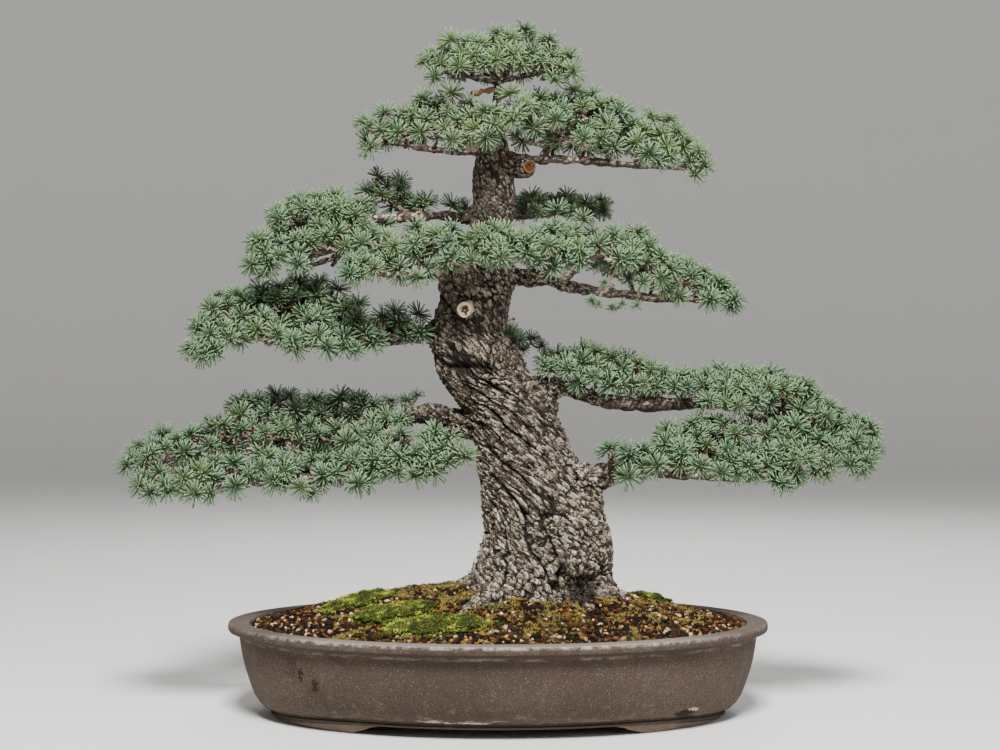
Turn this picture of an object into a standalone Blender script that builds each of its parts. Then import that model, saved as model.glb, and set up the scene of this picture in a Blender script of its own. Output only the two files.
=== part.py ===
"""A cedar bonsai in an oval clay pot, with its leafy branches, soil, moss and drain meshes.

Metres, +Z up, with the front towards -Y. The origin lies under the middle of the pot, on the
surface that its feet stand on.
"""

import math
import random

import bmesh
import bpy
from mathutils import Matrix, Vector, noise

MM = 0.001
GAP = 0.3 * MM
WALL_GAP = 0.5 * MM
SOCKET_GAP = 1.0 * MM
SEED = 7

# The pot: an oval bowl with a flat lip, a recessed base band and four feet.
POT_SIDES = 40
RIM_HEIGHT = 93 * MM
FOOT_HEIGHT = 9 * MM
FLOOR_TOP = 21 * MM
RIM_HALF_LENGTH = 268.5 * MM
RIM_INSET = 73.5 * MM
BASE_INSET = 9.5 * MM
# Half length and height down the outer face, in millimetres.
POT_OUTSIDE = [
    (265.5, 93.0),
    (268.5, 90.5),
    (268.0, 84.0),
    (257.0, 77.0),
    (254.0, 57.0),
    (249.0, 40.0),
    (242.0, 27.0),
    (229.0, 19.5),
    (226.0, 18.0),
    (225.0, 9.0),
]
# Half length and height up the inner face, in millimetres.
POT_INSIDE = [(222.0, 21.0), (236.0, 34.0), (243.0, 56.0), (247.5, 93.0)]
DRAIN_HOLE_X = 90 * MM
DRAIN_HOLE_RADIUS = 12 * MM

# The feet are what is left of a low oval ring under the base band.
FOOT_RING_OUTER = 224 * MM
FOOT_RING_WIDTH = 34 * MM
FOOT_FRONT_GAP = 206 * MM
FOOT_FRONT_GAP_FLARE = 44 * MM
FOOT_END_GAP = 70 * MM

# A square of plastic drain mesh lies over each drainage hole.
MESH_SIDE = 34 * MM
MESH_THICKNESS = 1.2 * MM
MESH_CELLS = 3

# The soil fills the pot to just under the lip and rises in a mound round the trunk.
SOIL_EDGE_HEIGHT = 88.5 * MM
MOUND_HEIGHT = 40 * MM
MOUND_POWER = 1.25
GRAIN_RELIEF = 1.7 * MM
SOIL_RINGS = [0.18, 0.36, 0.52, 0.66, 0.78, 0.88, 0.95]

# Moss cushions: centre x and y, half length, half width and thickness, in millimetres.
MOSS_CUSHIONS = [
    (-136, -28, 34, 25, 15),
    (-100, -88, 40, 17, 15),
    (-62, -128, 50, 15, 14),
    (154, 26, 20, 14, 11),
]

# The trunk from its buried base to the top of the leader: height, centre x, centre y,
# half width in x and half width in y, in millimetres.
TRUNK_STATIONS = [
    (84, 43, 0, 66, 58),
    (100, 43, 0, 80, 70),
    (114, 43, 0, 82, 72),
    (133, 43, 0, 73, 66),
    (173, 49, 0, 64, 58),
    (193, 47, 0, 60, 55),
    (213, 39, 1, 55, 51),
    (253, 28, 2, 49, 47),
    (293, 15, 3, 45, 44),
    (318, 1, 3, 47, 43),
    (343, -18, 2, 48, 42),
    (363, -26, 1, 44, 40),
    (383, -30, 0, 36, 36),
    (413, -23, -1, 36, 34),
    (433, -20, -2, 37, 33),
    (456, -12, -1, 28, 28),
    (480, -8, 0, 22, 23),
    (513, -4, 1, 22, 22),
    (550, -5, 1, 19, 19),
    (572, -4, 0, 13, 13),
    (594, -2, 0, 6.5, 6.5),
    (622, -1, 0, 4.2, 4.2),
]
TRUNK_SIDES = 24
TRUNK_RINGS = 42
BARK_FLUTES = 7
BARK_FLUTE_DEPTH = 0.05
BUTTRESS_DEPTH = 0.09
BUTTRESS_HEIGHT = 34.0
BARK_TWIST = 9.0
BARK_RELIEF = 2.4 * MM
# The hole for the trunk in the soil is cut up to this height, in millimetres.
SOCKET_TOP = 200
# Hollows in the front of the trunk: x, z, half width and depth, in millimetres.
TRUNK_HOLLOWS = [(-21, 347, 13, 9), (18, 202, 16, 6), (88, 128, 14, 15)]
# Roots that run over the soil and dive into it, as (x, y, z, radius) in millimetres.
ROOTS = [
    [(20, -36, 114, 26), (-6, -62, 110, 17), (-24, -80, 103, 11), (-38, -94, 94, 6)],
    [(5, 8, 122, 26), (-40, 16, 117, 15), (-76, 22, 109, 9), (-104, 28, 96, 6)],
    [(80, -8, 114, 28), (114, -16, 109, 16), (134, -23, 102, 9), (149, -28, 93, 5)],
    [(52, 36, 114, 28), (64, 66, 110, 17), (71, 90, 103, 10), (78, 110, 92, 5)],
    [(66, -30, 112, 26), (84, -60, 107, 15), (96, -80, 100, 9), (106, -96, 90, 6)],
]
# Cut stubs of lost limbs, as (x, y, z, radius) in millimetres.
STUBS = [
    [(6, -4, 549, 14), (24, -12, 547, 12), (31, -25, 546, 7.5)],
    [(-28, -14, 404, 12), (-34, -47, 405, 9.5)],
]

# Places on the tree were measured as they line up at the trunk's plane for a viewer this far in
# front of it, with the eye at this height.
VIEW_DISTANCE = 1900.0
EYE_HEIGHT = 338.0

NEEDLE_TIP = 15.5 * MM
TUFT_CORE = 2.5 * MM
TUFT_SPACING = 43 * MM
TUFT_CLEARANCE = 1.0 * MM
CLUMP_POINTS = 70
LOWEST_FACING = -0.3
WOOD_STEP = 5 * MM
BARE_STRETCH = 20 * MM

# Each leafy branch has its limbs, the first of which starts inside the trunk and leaves it at its
# second point, and the clumps of needle tufts that they carry. Limb points are (x, y, z, radius)
# and clumps are (x, y, z, half length, half depth, half height), in millimetres.
BRANCHES = {
    "branch_crown": {
        "limbs": [
            [(-1, 0, 600, 4.2), (-1, 0, 622, 4.2), (0, 0, 634, 4), (4, 2, 648, 2.6)],
            [(-1, 0, 630, 3.4), (-28, -6, 635, 3), (-56, 0, 642, 2.2)],
            [(-1, 0, 632, 3.4), (30, 4, 636, 3), (58, 0, 643, 2.2)],
            [(0, 0, 634, 3), (-6, -26, 642, 2.2)],
            [(0, 0, 634, 3), (8, 28, 643, 2.2)],
        ],
        "clumps": [
            (-57, 0, 650, 12, 24, 13),
            (-30, -10, 658, 20, 30, 14),
            (2, -4, 660, 24, 38, 16),
            (32, 4, 661, 20, 36, 15),
            (57, 0, 651, 11, 26, 13),
        ],
    },
    "branch_upper_left": {
        "limbs": [
            [(-4, 0, 562, 6), (-32, -5, 563, 5), (-68, -4, 567, 4), (-112, 0, 574, 2.2)],
            [(-40, -5, 564, 3.5), (-30, -28, 572, 2.8), (-10, -40, 578, 2.2)],
        ],
        "clumps": [
            (-121, 0, 580, 13, 26, 12),
            (-96, 0, 583, 17, 32, 14),
            (-68, 0, 593, 18, 36, 17),
            (-38, -6, 590, 18, 40, 15),
            (-10, -44, 588, 14, 18, 13),
        ],
    },
    "branch_upper_right": {
        "limbs": [
            [(4, 0, 552, 8), (36, 4, 557, 6.5), (102, 2, 554, 5), (152, 0, 549, 4), (188, 0, 547, 2.3)],
            [(46, 3, 557, 4.5), (60, -6, 580, 3.6), (84, -4, 592, 3), (104, 0, 588, 2.2)],
            [(58, -5, 578, 3), (34, -24, 590, 2.6), (20, -34, 598, 2.1)],
        ],
        "clumps": [
            (17, -38, 604, 13, 18, 12),
            (47, -6, 601, 19, 36, 16),
            (82, 2, 603, 20, 38, 16),
            (110, 0, 594, 18, 36, 16),
            (77, -8, 578, 25, 40, 12),
            (142, 0, 573, 20, 34, 15),
            (167, 0, 577, 13, 28, 12),
            (184, 0, 561, 11, 24, 12),
            (196, 0, 549, 5, 16, 6),
        ],
    },
    "branch_high_left": {
        "limbs": [
            [
                (-8, 6, 497, 9),
                (-38, 26, 498, 8),
                (-78, 34, 499, 7),
                (-120, 22, 496, 6),
                (-175, 2, 490, 4.5),
                (-216, -4, 482, 2.4),
            ],
            [(-128, 20, 495, 4.5), (-150, -12, 470, 4), (-190, -22, 457, 3.2), (-228, -20, 454, 2.2)],
            [(-90, 32, 499, 4), (-104, 48, 508, 3), (-112, 54, 516, 2.2)],
        ],
        "clumps": [
            (-110, 54, 523, 14, 20, 9),
            (-92, 50, 506, 14, 16, 6),
            (-163, 6, 506, 18, 32, 10),
            (-190, 4, 505, 16, 32, 10),
            (-212, 2, 495, 10, 26, 7),
            (-146, -18, 491, 14, 28, 9),
            (-223, -16, 468, 15, 32, 13),
            (-198, -28, 463, 18, 30, 13),
            (-236, -16, 452, 9, 26, 7),
            (-158, -28, 473, 20, 28, 11),
            (-126, -30, 475, 16, 26, 10),
        ],
    },
    "branch_front": {
        "limbs": [
            [(-16, -8, 436, 10), (-34, -44, 438, 8), (-66, -64, 440, 6), (-104, -70, 440, 4), (-134, -70, 440, 2.3)],
            [(-44, -50, 438.5, 5), (-24, -72, 450, 4), (-12, -76, 458, 2.3)],
            [(-66, -64, 440, 4), (-72, -64, 458, 2.4)],
        ],
        "clumps": [
            (-143, -70, 447, 10, 22, 9),
            (-118, -70, 447, 18, 26, 9),
            (-90, -72, 445, 18, 24, 10),
            (-80, -62, 472, 15, 24, 9),
            (-48, -76, 470, 18, 24, 11),
            (-43, -90, 453, 15, 14, 6),
            (-16, -78, 468, 16, 22, 12),
        ],
    },
    "branch_middle_right": {
        "limbs": [
            [
                (-6, -6, 436, 10),
                (24, -14, 436, 8.5),
                (72, -16, 426, 6.5),
                (102, -12, 421, 5.5),
                (142, -8, 416, 4.5),
                (196, -5, 413, 3.5),
                (226, -3, 411, 2.2),
            ],
            [(50, -15, 431, 4.5), (48, -38, 448, 3.8), (22, -60, 458, 2.3)],
            [(62, -16, 428, 4.5), (86, -26, 450, 3.6), (128, -22, 453, 2.3)],
        ],
        "clumps": [
            (20, -70, 465, 14, 20, 11),
            (45, -50, 470, 18, 32, 13),
            (74, -34, 468, 20, 38, 14),
            (102, -22, 468, 22, 40, 13),
            (134, -18, 465, 20, 38, 14),
            (157, -16, 451, 16, 34, 12),
            (187, -8, 435, 14, 28, 10),
            (207, -5, 426, 10, 24, 9),
            (229, -3, 416, 6, 16, 5),
        ],
    },
    "branch_back_right": {
        "limbs": [[(-4, 6, 494, 7), (18, 34, 497, 5.5), (52, 58, 499, 4), (92, 70, 500, 2.3)]],
        "clumps": [
            (30, 66, 508, 14, 26, 8),
            (62, 76, 508, 18, 32, 9),
            (94, 74, 507, 12, 26, 8),
        ],
    },
    "branch_middle_left": {
        "limbs": [
            [
                (-30, 0, 374, 12),
                (-74, 0, 378, 9),
                (-125, -2, 373, 7),
                (-165, -5, 370, 6),
                (-205, -6, 370, 5),
                (-245, -6, 378, 3.8),
                (-288, 0, 388, 2.3),
            ],
            [(-118, -2, 374, 4.5), (-150, 18, 390, 4), (-190, 24, 397, 3.2), (-236, 14, 399, 2.2)],
        ],
        "clumps": [
            (-294, 0, 394, 8, 24, 10),
            (-263, 12, 408, 20, 34, 10),
            (-268, -20, 380, 20, 28, 9),
            (-226, 14, 410, 22, 34, 10),
            (-223, -25, 378, 22, 30, 8),
            (-186, 30, 413, 18, 30, 10),
            (-183, -20, 385, 20, 34, 12),
            (-150, 4, 395, 18, 36, 12),
            (-148, -25, 377, 16, 28, 8),
            (-113, 2, 386, 18, 32, 11),
            (-96, 6, 382, 8, 24, 8),
        ],
    },
    "branch_back": {
        "limbs": [[(-24, 20, 366, 9), (-22, 56, 368, 7), (-14, 92, 369, 5), (-6, 124, 372, 2.4)]],
        "clumps": [
            (-26, 100, 379, 20, 26, 9),
            (4, 104, 377, 20, 28, 8),
            (-8, 132, 380, 24, 22, 8),
        ],
    },
    "branch_low_right": {
        "limbs": [
            [
                (6, 8, 323, 13),
                (62, 7, 328, 8.5),
                (92, 5, 321, 7.5),
                (112, 4, 311, 7),
                (142, 4, 308, 7),
                (207, 2, 310, 6),
                (250, 0, 308, 5),
                (290, -2, 300, 4),
                (325, -6, 280, 3.2),
                (356, -10, 264, 2.2),
            ],
            [(236, 0, 308.5, 4), (266, -20, 292, 3.6), (300, -28, 270, 2.4)],
            [(216, 1, 309.6, 4), (232, -28, 306, 2.4)],
        ],
        "clumps": [
            (58, 18, 351, 12, 24, 10),
            (87, 12, 351, 18, 34, 12),
            (117, 10, 346, 20, 36, 12),
            (147, 10, 340, 18, 30, 8),
            (182, 10, 330, 20, 30, 8),
            (220, 6, 329, 20, 38, 12),
            (257, 2, 329, 22, 42, 11),
            (292, 0, 321, 20, 40, 12),
            (314, -5, 303, 16, 38, 12),
            (347, -6, 275, 18, 36, 13),
            (366, -6, 271, 7, 24, 10),
            (322, -26, 268, 22, 34, 12),
            (357, -20, 254, 8, 22, 6),
            (237, -42, 313, 20, 20, 9),
        ],
    },
    "branch_low_front_right": {
        "limbs": [
            [
                (44, -8, 243, 15),
                (86, -16, 241, 11),
                (104, -22, 243, 8.5),
                (150, -44, 243, 6.5),
                (190, -52, 238, 5),
                (240, -54, 235, 4),
                (286, -52, 236, 2.3),
            ],
            [(116, -28, 243, 5), (112, -42, 252, 2.6)],
            [(140, -39, 243, 4.5), (180, -44, 258, 3.6), (216, -50, 262, 2.3)],
        ],
        "clumps": [
            (115, -46, 262, 8, 16, 6),
            (134, -50, 243, 11, 20, 8),
            (164, -50, 253, 18, 30, 12),
            (182, -42, 273, 17, 28, 10),
            (202, -56, 263, 18, 32, 16),
            (227, -56, 272, 14, 26, 14),
            (242, -56, 252, 20, 32, 12),
            (277, -52, 253, 19, 30, 14),
            (287, -56, 238, 13, 20, 6),
        ],
    },
    "branch_low_left": {
        "limbs": [
            [
                (-2, 0, 284, 14),
                (-40, 2, 294, 11),
                (-62, 5, 303, 10),
                (-86, 8, 298, 9),
                (-120, 14, 288, 7.5),
                (-165, 18, 281, 6),
                (-215, 16, 278, 4.5),
                (-262, 10, 276, 2.4),
            ],
            [
                (-100, 10, 294, 6.5),
                (-116, -24, 268, 6),
                (-152, -50, 242, 5.5),
                (-196, -54, 232, 5),
                (-250, -48, 232, 4.5),
                (-300, -36, 238, 3.6),
                (-346, -20, 244, 2.3),
            ],
            [(-106, -8, 281, 4.5), (-80, -34, 262, 3.8), (-52, -50, 256, 2.4)],
            [(-262, -45, 234, 3.6), (-280, -16, 252, 3), (-306, -4, 262, 2.2)],
        ],
        "clumps": [
            (-248, 26, 295, 20, 34, 14),
            (-213, 30, 301, 22, 36, 14),
            (-178, 32, 301, 22, 36, 14),
            (-148, 36, 301, 18, 30, 14),
            (-110, 26, 299, 20, 26, 9),
            (-263, 6, 279, 24, 32, 11),
            (-213, -8, 281, 26, 24, 9),
            (-158, -14, 276, 22, 24, 11),
            (-356, -14, 256, 12, 30, 12),
            (-328, -8, 261, 20, 38, 14),
            (-293, 0, 273, 22, 38, 12),
            (-343, -40, 231, 14, 22, 8),
            (-303, -50, 233, 20, 28, 14),
            (-266, -52, 238, 20, 28, 12),
            (-228, -56, 243, 22, 28, 15),
            (-193, -60, 238, 22, 28, 14),
            (-153, -60, 240, 22, 28, 13),
            (-123, -52, 250, 18, 28, 18),
            (-98, -46, 260, 20, 30, 19),
            (-68, -52, 257, 15, 26, 17),
            (-46, -62, 258, 10, 16, 10),
        ],
    },
}


def clear_scene():
    for item in list(bpy.data.objects):
        bpy.data.objects.remove(item, do_unlink=True)


def new_collection(name):
    collection = bpy.data.collections.new(name)
    bpy.context.scene.collection.children.link(collection)
    return collection


def new_material(name, colour, roughness, metallic=0.0):
    material = bpy.data.materials.new(name)
    material.use_nodes = True
    shader = material.node_tree.nodes["Principled BSDF"]
    shader.inputs["Base Color"].default_value = (*colour, 1.0)
    shader.inputs["Roughness"].default_value = roughness
    shader.inputs["Metallic"].default_value = metallic
    return material


def object_from(bm, name, collection):
    """Makes an object of the mesh, with its faces turned outwards."""
    bm.normal_update()
    bmesh.ops.recalc_face_normals(bm, faces=bm.faces)
    mesh = bpy.data.meshes.new(name)
    bm.to_mesh(mesh)
    bm.free()
    item = bpy.data.objects.new(name, mesh)
    collection.objects.link(item)
    return item


def finish(item, material, sharp_angle=35):
    item.data.materials.clear()
    item.data.materials.append(material)
    item.data.shade_smooth()
    item.data.set_sharp_from_angle(angle=math.radians(sharp_angle))


def apply_modifiers(item):
    bpy.context.view_layer.update()
    graph = bpy.context.evaluated_depsgraph_get()
    item.data = bpy.data.meshes.new_from_object(item.evaluated_get(graph))
    item.modifiers.clear()


def join(item, collection, solver="EXACT"):
    """Unites the item with all that the collection holds, then removes the collection."""
    union = item.modifiers.new("join", "BOOLEAN")
    union.operation = "UNION"
    union.operand_type = "COLLECTION"
    union.collection = collection
    union.solver = solver
    apply_modifiers(item)
    for part in list(collection.objects):
        bpy.data.objects.remove(part, do_unlink=True)
    bpy.data.collections.remove(collection)


def cut(item, cutter, solver="EXACT"):
    """Cuts the cutter out of the item; the cutter stays in the file as a hidden guide."""
    cutter.hide_render = True
    cutter.display_type = "WIRE"
    difference = item.modifiers.new("cut", "BOOLEAN")
    difference.operation = "DIFFERENCE"
    difference.object = cutter
    difference.solver = solver
    apply_modifiers(item)


def drop_scraps(item):
    """Removes the loose pieces that cuts have left, and keeps the one with the most faces."""
    bm = bmesh.new()
    bm.from_mesh(item.data)
    pieces = []
    unseen = set(bm.verts)
    while unseen:
        piece = set()
        reached = [unseen.pop()]
        while reached:
            vertex = reached.pop()
            piece.add(vertex)
            neighbours = {edge.other_vert(vertex) for edge in vertex.link_edges} & unseen
            unseen -= neighbours
            reached += neighbours
        pieces.append(piece)
    pieces.sort(key=len)
    scraps = [vertex for piece in pieces[:-1] for vertex in piece]
    bmesh.ops.delete(bm, geom=scraps, context="VERTS")
    bm.to_mesh(item.data)
    bm.free()


def swollen_copy(item, name, amount, collection):
    """A copy of the item's mesh with its surface moved outwards, to cut a socket for it."""
    bm = bmesh.new()
    bm.from_mesh(item.data)
    bm.normal_update()
    moved = [vertex.co + vertex.normal * amount for vertex in bm.verts]
    for vertex, place in zip(bm.verts, moved):
        vertex.co = place
    return object_from(bm, name, collection)


def between(stations, value):
    """Reads a table of stations, sorted by their first number, as smooth curves."""
    index = 0
    while index < len(stations) - 2 and value > stations[index + 1][0]:
        index += 1
    before = stations[max(index - 1, 0)]
    start = stations[index]
    end = stations[index + 1]
    after = stations[min(index + 2, len(stations) - 1)]
    span = end[0] - start[0]
    t = (value - start[0]) / span
    result = []
    for column in range(1, len(start)):
        slope_start = (end[column] - before[column]) / (end[0] - before[0]) * span
        slope_end = (after[column] - start[column]) / (after[0] - start[0]) * span
        result.append(
            (2 * t**3 - 3 * t**2 + 1) * start[column]
            + (t**3 - 2 * t**2 + t) * slope_start
            + (3 * t**2 - 2 * t**3) * end[column]
            + (t**3 - t**2) * slope_end
        )
    return result


def loft(rings):
    """A closed solid over rings of equal point counts, with a flat cap at either end."""
    bm = bmesh.new()
    rows = [[bm.verts.new(point) for point in ring] for ring in rings]
    count = len(rows[0])
    for lower, upper in zip(rows, rows[1:]):
        for index in range(count):
            following = (index + 1) % count
            bm.faces.new((lower[index], lower[following], upper[following], upper[index]))
    bm.faces.new(rows[0])
    bm.faces.new(rows[-1])
    return bm


def half_width(half_length, height):
    """The oval gets rounder towards the rim: its inset from length to width shrinks upwards."""
    return half_length - RIM_INSET - BASE_INSET * (1 - height / RIM_HEIGHT)


def oval(half_length, height, shrink=0.0, sides=POT_SIDES):
    a = half_length - shrink
    b = half_width(half_length, height) - shrink
    return [
        Vector((a * math.cos(turn), b * math.sin(turn), height))
        for turn in (2 * math.pi * index / sides for index in range(sides))
    ]


def make_pot(parts, cutters):
    outside = [oval(length * MM, height * MM) for length, height in reversed(POT_OUTSIDE)]
    inside = [oval(length * MM, height * MM) for length, height in reversed(POT_INSIDE)]
    pot = object_from(loft(outside + inside), "pot", parts)
    feet = new_collection("feet")
    make_foot_ring(feet, cutters)
    join(pot, feet)
    for side in (-1, 1):
        bm = bmesh.new()
        bmesh.ops.create_cone(
            bm,
            cap_ends=True,
            segments=14,
            radius1=DRAIN_HOLE_RADIUS,
            radius2=DRAIN_HOLE_RADIUS,
            depth=2 * FLOOR_TOP,
        )
        hole = object_from(bm, "drain_hole_cutter", cutters)
        hole.location = (side * DRAIN_HOLE_X, 0, FLOOR_TOP / 2)
        cut(pot, hole)
    finish(pot, new_material("unglazed_clay", (0.17, 0.14, 0.12), 0.85))
    return pot


def make_foot_ring(feet, cutters):
    """The ring under the base band, cut through at the front, the back and both ends."""
    top = FOOT_HEIGHT + 2 * MM
    inner = FOOT_RING_OUTER - FOOT_RING_WIDTH
    ring = object_from(
        loft([oval(FOOT_RING_OUTER, 0, 2 * MM), oval(FOOT_RING_OUTER, top)]), "foot_ring", feet
    )
    hollow = object_from(
        loft([oval(inner, -FOOT_HEIGHT), oval(inner, 2 * top)]), "foot_ring_cutter", cutters
    )
    cut(ring, hollow)
    bm = bmesh.new()
    bmesh.ops.create_cube(bm, size=1.0)
    for vertex in bm.verts:
        flare = FOOT_FRONT_GAP_FLARE if vertex.co.z < 0 else 0.0
        vertex.co.x *= FOOT_FRONT_GAP + flare
        vertex.co.y *= 2 * RIM_HALF_LENGTH
        vertex.co.z = FOOT_HEIGHT + 4 * MM if vertex.co.z > 0 else -1 * MM
    cut(ring, object_from(bm, "foot_front_gap_cutter", cutters))
    bm = bmesh.new()
    bmesh.ops.create_cube(bm, size=1.0)
    for vertex in bm.verts:
        vertex.co.x *= 2 * RIM_HALF_LENGTH
        vertex.co.y *= FOOT_END_GAP
        vertex.co.z = FOOT_HEIGHT + 4 * MM if vertex.co.z > 0 else -1 * MM
    cut(ring, object_from(bm, "foot_end_gap_cutter", cutters))


def mound(x, y):
    """The height of the soil without its grains."""
    a = POT_INSIDE[-1][0] * MM
    b = half_width(a, RIM_HEIGHT)
    reach = min(1.0, (x / a) ** 2 + (y / b) ** 2)
    return SOIL_EDGE_HEIGHT + MOUND_HEIGHT * (1 - reach) ** MOUND_POWER


def make_soil(parts):
    draw = random.Random(SEED)
    rings = [
        oval(length * MM, max(height * MM, FLOOR_TOP + GAP), WALL_GAP) for length, height in POT_INSIDE[:-1]
    ]
    below, rim = POT_INSIDE[-2:]
    share = (SOIL_EDGE_HEIGHT / MM - below[1]) / (rim[1] - below[1])
    edge = oval((below[0] + (rim[0] - below[0]) * share) * MM, SOIL_EDGE_HEIGHT, WALL_GAP)
    rings.append(edge)
    for share in reversed(SOIL_RINGS):
        ring = []
        for point in edge:
            x = point.x * share
            y = point.y * share
            ring.append(Vector((x, y, mound(x, y) + draw.uniform(-1, 1) * GRAIN_RELIEF)))
        rings.append(ring)
    bm = loft(rings)
    top = max(bm.faces, key=lambda face: face.calc_center_median().z - 10 * (len(face.verts) == 4))
    bmesh.ops.poke(bm, faces=[top])
    soil = object_from(bm, "soil", parts)
    finish(soil, new_material("akadama_soil", (0.16, 0.10, 0.06), 0.95))
    return soil


def make_moss(parts, cutters, soil):
    moss_green = new_material("moss", (0.12, 0.22, 0.03), 0.9)
    for number, (x, y, length, width, thickness) in enumerate(MOSS_CUSHIONS, 1):
        x *= MM
        y *= MM
        step = 2 * MM
        slope = Vector((
            (mound(x - step, y) - mound(x + step, y)) / (2 * step),
            (mound(x, y - step) - mound(x, y + step)) / (2 * step),
            1.0,
        ))
        bm = bmesh.new()
        bmesh.ops.create_icosphere(bm, subdivisions=2, radius=1.0)
        for vertex in bm.verts:
            lump = 1 + 0.13 * noise.noise(vertex.co * 1.7 + Vector((number, 0, 0)))
            vertex.co = Vector((
                vertex.co.x * length * lump * MM,
                vertex.co.y * width * lump * MM,
                vertex.co.z * thickness / 2 * lump * MM,
            ))
        turn = slope.to_track_quat("Z", "Y").to_matrix().to_4x4()
        bm.transform(Matrix.Translation((x, y, mound(x, y) + 1 * MM)) @ turn)
        cushion = object_from(bm, f"moss_{number}", parts)
        finish(cushion, moss_green)
        socket = swollen_copy(cushion, f"moss_{number}_socket", SOCKET_GAP, cutters)
        cut(soil, socket, "MANIFOLD")


def make_drain_meshes(parts, cutters, soil):
    """A lattice over each drainage hole, and the pocket that it leaves in the soil."""
    black = new_material("drain_plastic", (0.02, 0.02, 0.02), 0.5)
    for side, name in ((-1, "drain_mesh_left"), (1, "drain_mesh_right")):
        bm = bmesh.new()
        bmesh.ops.create_grid(bm, x_segments=MESH_CELLS, y_segments=MESH_CELLS, size=MESH_SIDE / 2)
        lattice = object_from(bm, name, parts)
        wires = lattice.modifiers.new("wires", "WIREFRAME")
        wires.thickness = MESH_THICKNESS
        wires.use_even_offset = False
        wires.use_boundary = True
        lattice.location = (side * DRAIN_HOLE_X, 0, FLOOR_TOP + GAP + MESH_THICKNESS / 2)
        finish(lattice, black)
        bm = bmesh.new()
        bmesh.ops.create_cube(bm, size=1.0)
        bmesh.ops.scale(bm, verts=bm.verts, vec=(MESH_SIDE + 3 * MM, MESH_SIDE + 3 * MM, 4 * MESH_THICKNESS))
        pocket = object_from(bm, name + "_pocket", cutters)
        pocket.location = (side * DRAIN_HOLE_X, 0, FLOOR_TOP)
        cut(soil, pocket)


def tube(points, collection, name, resolution=2):
    """A tapered round limb along points of (x, y, z, radius) in metres, as a mesh object."""
    curve = bpy.data.curves.new(name, "CURVE")
    curve.dimensions = "3D"
    curve.bevel_depth = 1.0
    curve.bevel_resolution = resolution
    curve.use_fill_caps = True
    spline = curve.splines.new("POLY")
    spline.points.add(len(points) - 1)
    for target, (x, y, z, radius) in zip(spline.points, points):
        target.co = (x, y, z, 1.0)
        target.radius = radius
    guide = bpy.data.objects.new(name, curve)
    bpy.context.scene.collection.objects.link(guide)
    bpy.context.view_layer.update()
    graph = bpy.context.evaluated_depsgraph_get()
    mesh = bpy.data.meshes.new_from_object(guide.evaluated_get(graph))
    bm = bmesh.new()
    bm.from_mesh(mesh)
    bmesh.ops.remove_doubles(bm, verts=bm.verts, dist=1e-6)
    bpy.data.objects.remove(guide, do_unlink=True)
    bpy.data.meshes.remove(mesh)
    return object_from(bm, name, collection)


def lined_up(x, y, z):
    """The place at depth y that lines up with (x, z) at the trunk's plane, from millimetres to metres."""
    spread = 1 + y / VIEW_DISTANCE
    return Vector((x * spread, y, EYE_HEIGHT + (z - EYE_HEIGHT) * spread)) * MM


def in_metres(path):
    return [(*lined_up(x, y, z), radius * MM) for x, y, z, radius in path]


def trunk_ring(height, swell):
    """One ring of the trunk, with its spiral flutes, flaky relief and hollows."""
    centre_x, centre_y, half_x, half_y = between(TRUNK_STATIONS, height)
    ring = []
    for index in range(TRUNK_SIDES):
        turn = 2 * math.pi * index / TRUNK_SIDES
        flute = math.sin(BARK_FLUTES * turn + BARK_TWIST * height * MM)
        buttress = BUTTRESS_DEPTH * math.exp(-max(0.0, height - 100) / BUTTRESS_HEIGHT)
        fluted = 1 + BARK_FLUTE_DEPTH * flute + buttress * math.cos(5 * turn + 0.6)
        x = centre_x + half_x * fluted * math.cos(turn)
        y = centre_y + half_y * fluted * math.sin(turn)
        outwards = Vector((math.cos(turn), math.sin(turn), 0))
        point = Vector((x, y, height)) * MM
        relief = BARK_RELIEF * min(1.0, half_x / 20) * noise.noise(point / (18 * MM))
        sunk = 0.0
        if y < centre_y:
            for hollow_x, hollow_z, reach, depth in TRUNK_HOLLOWS:
                away = ((x - hollow_x) ** 2 + (height - hollow_z) ** 2) / reach**2
                sunk += depth * MM * math.exp(-away)
        ring.append(point + outwards * (relief - sunk + swell))
    return ring


def trunk_body(name, collection, top, swell=0.0):
    """The trunk up to the given height; swollen, it is the cutter for its hole in the soil."""
    low = TRUNK_STATIONS[0][0]
    step = (TRUNK_STATIONS[-1][0] - low) / (TRUNK_RINGS - 1)
    rings = [trunk_ring(low + step * index, swell) for index in range(round((top - low) / step) + 1)]
    if swell:
        for point in rings[0]:
            point.z -= GAP
    bm = loft(rings)
    bmesh.ops.triangulate(bm, faces=bm.faces, quad_method="FIXED")
    return object_from(bm, name, collection)


def add_roots(collection, swell=0.0):
    for path in ROOTS:
        points = in_metres(path)
        along = (Vector(points[-1][:3]) - Vector(points[-2][:3])).normalized()
        end = Vector(points[-1][:3]) + along * swell
        points[-1] = (*end, points[-1][3])
        tube([(x, y, z, radius + swell) for x, y, z, radius in points], collection, "root")


def limb_start(limb):
    """The part of a branch's first limb that belongs to the trunk."""
    return in_metres(limb[:2])


def limb_rest(limb):
    """The rest of it, which starts a gap further on along the same line."""
    points = in_metres(limb)
    inner = Vector(points[0][:3])
    joint = Vector(points[1][:3])
    along = (joint - inner).normalized()
    start = (*(joint + along * GAP), points[1][3])
    straight = (*(joint + along * 5 * MM), points[1][3] * 0.98)
    return [start, straight, *points[2:]]


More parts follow.
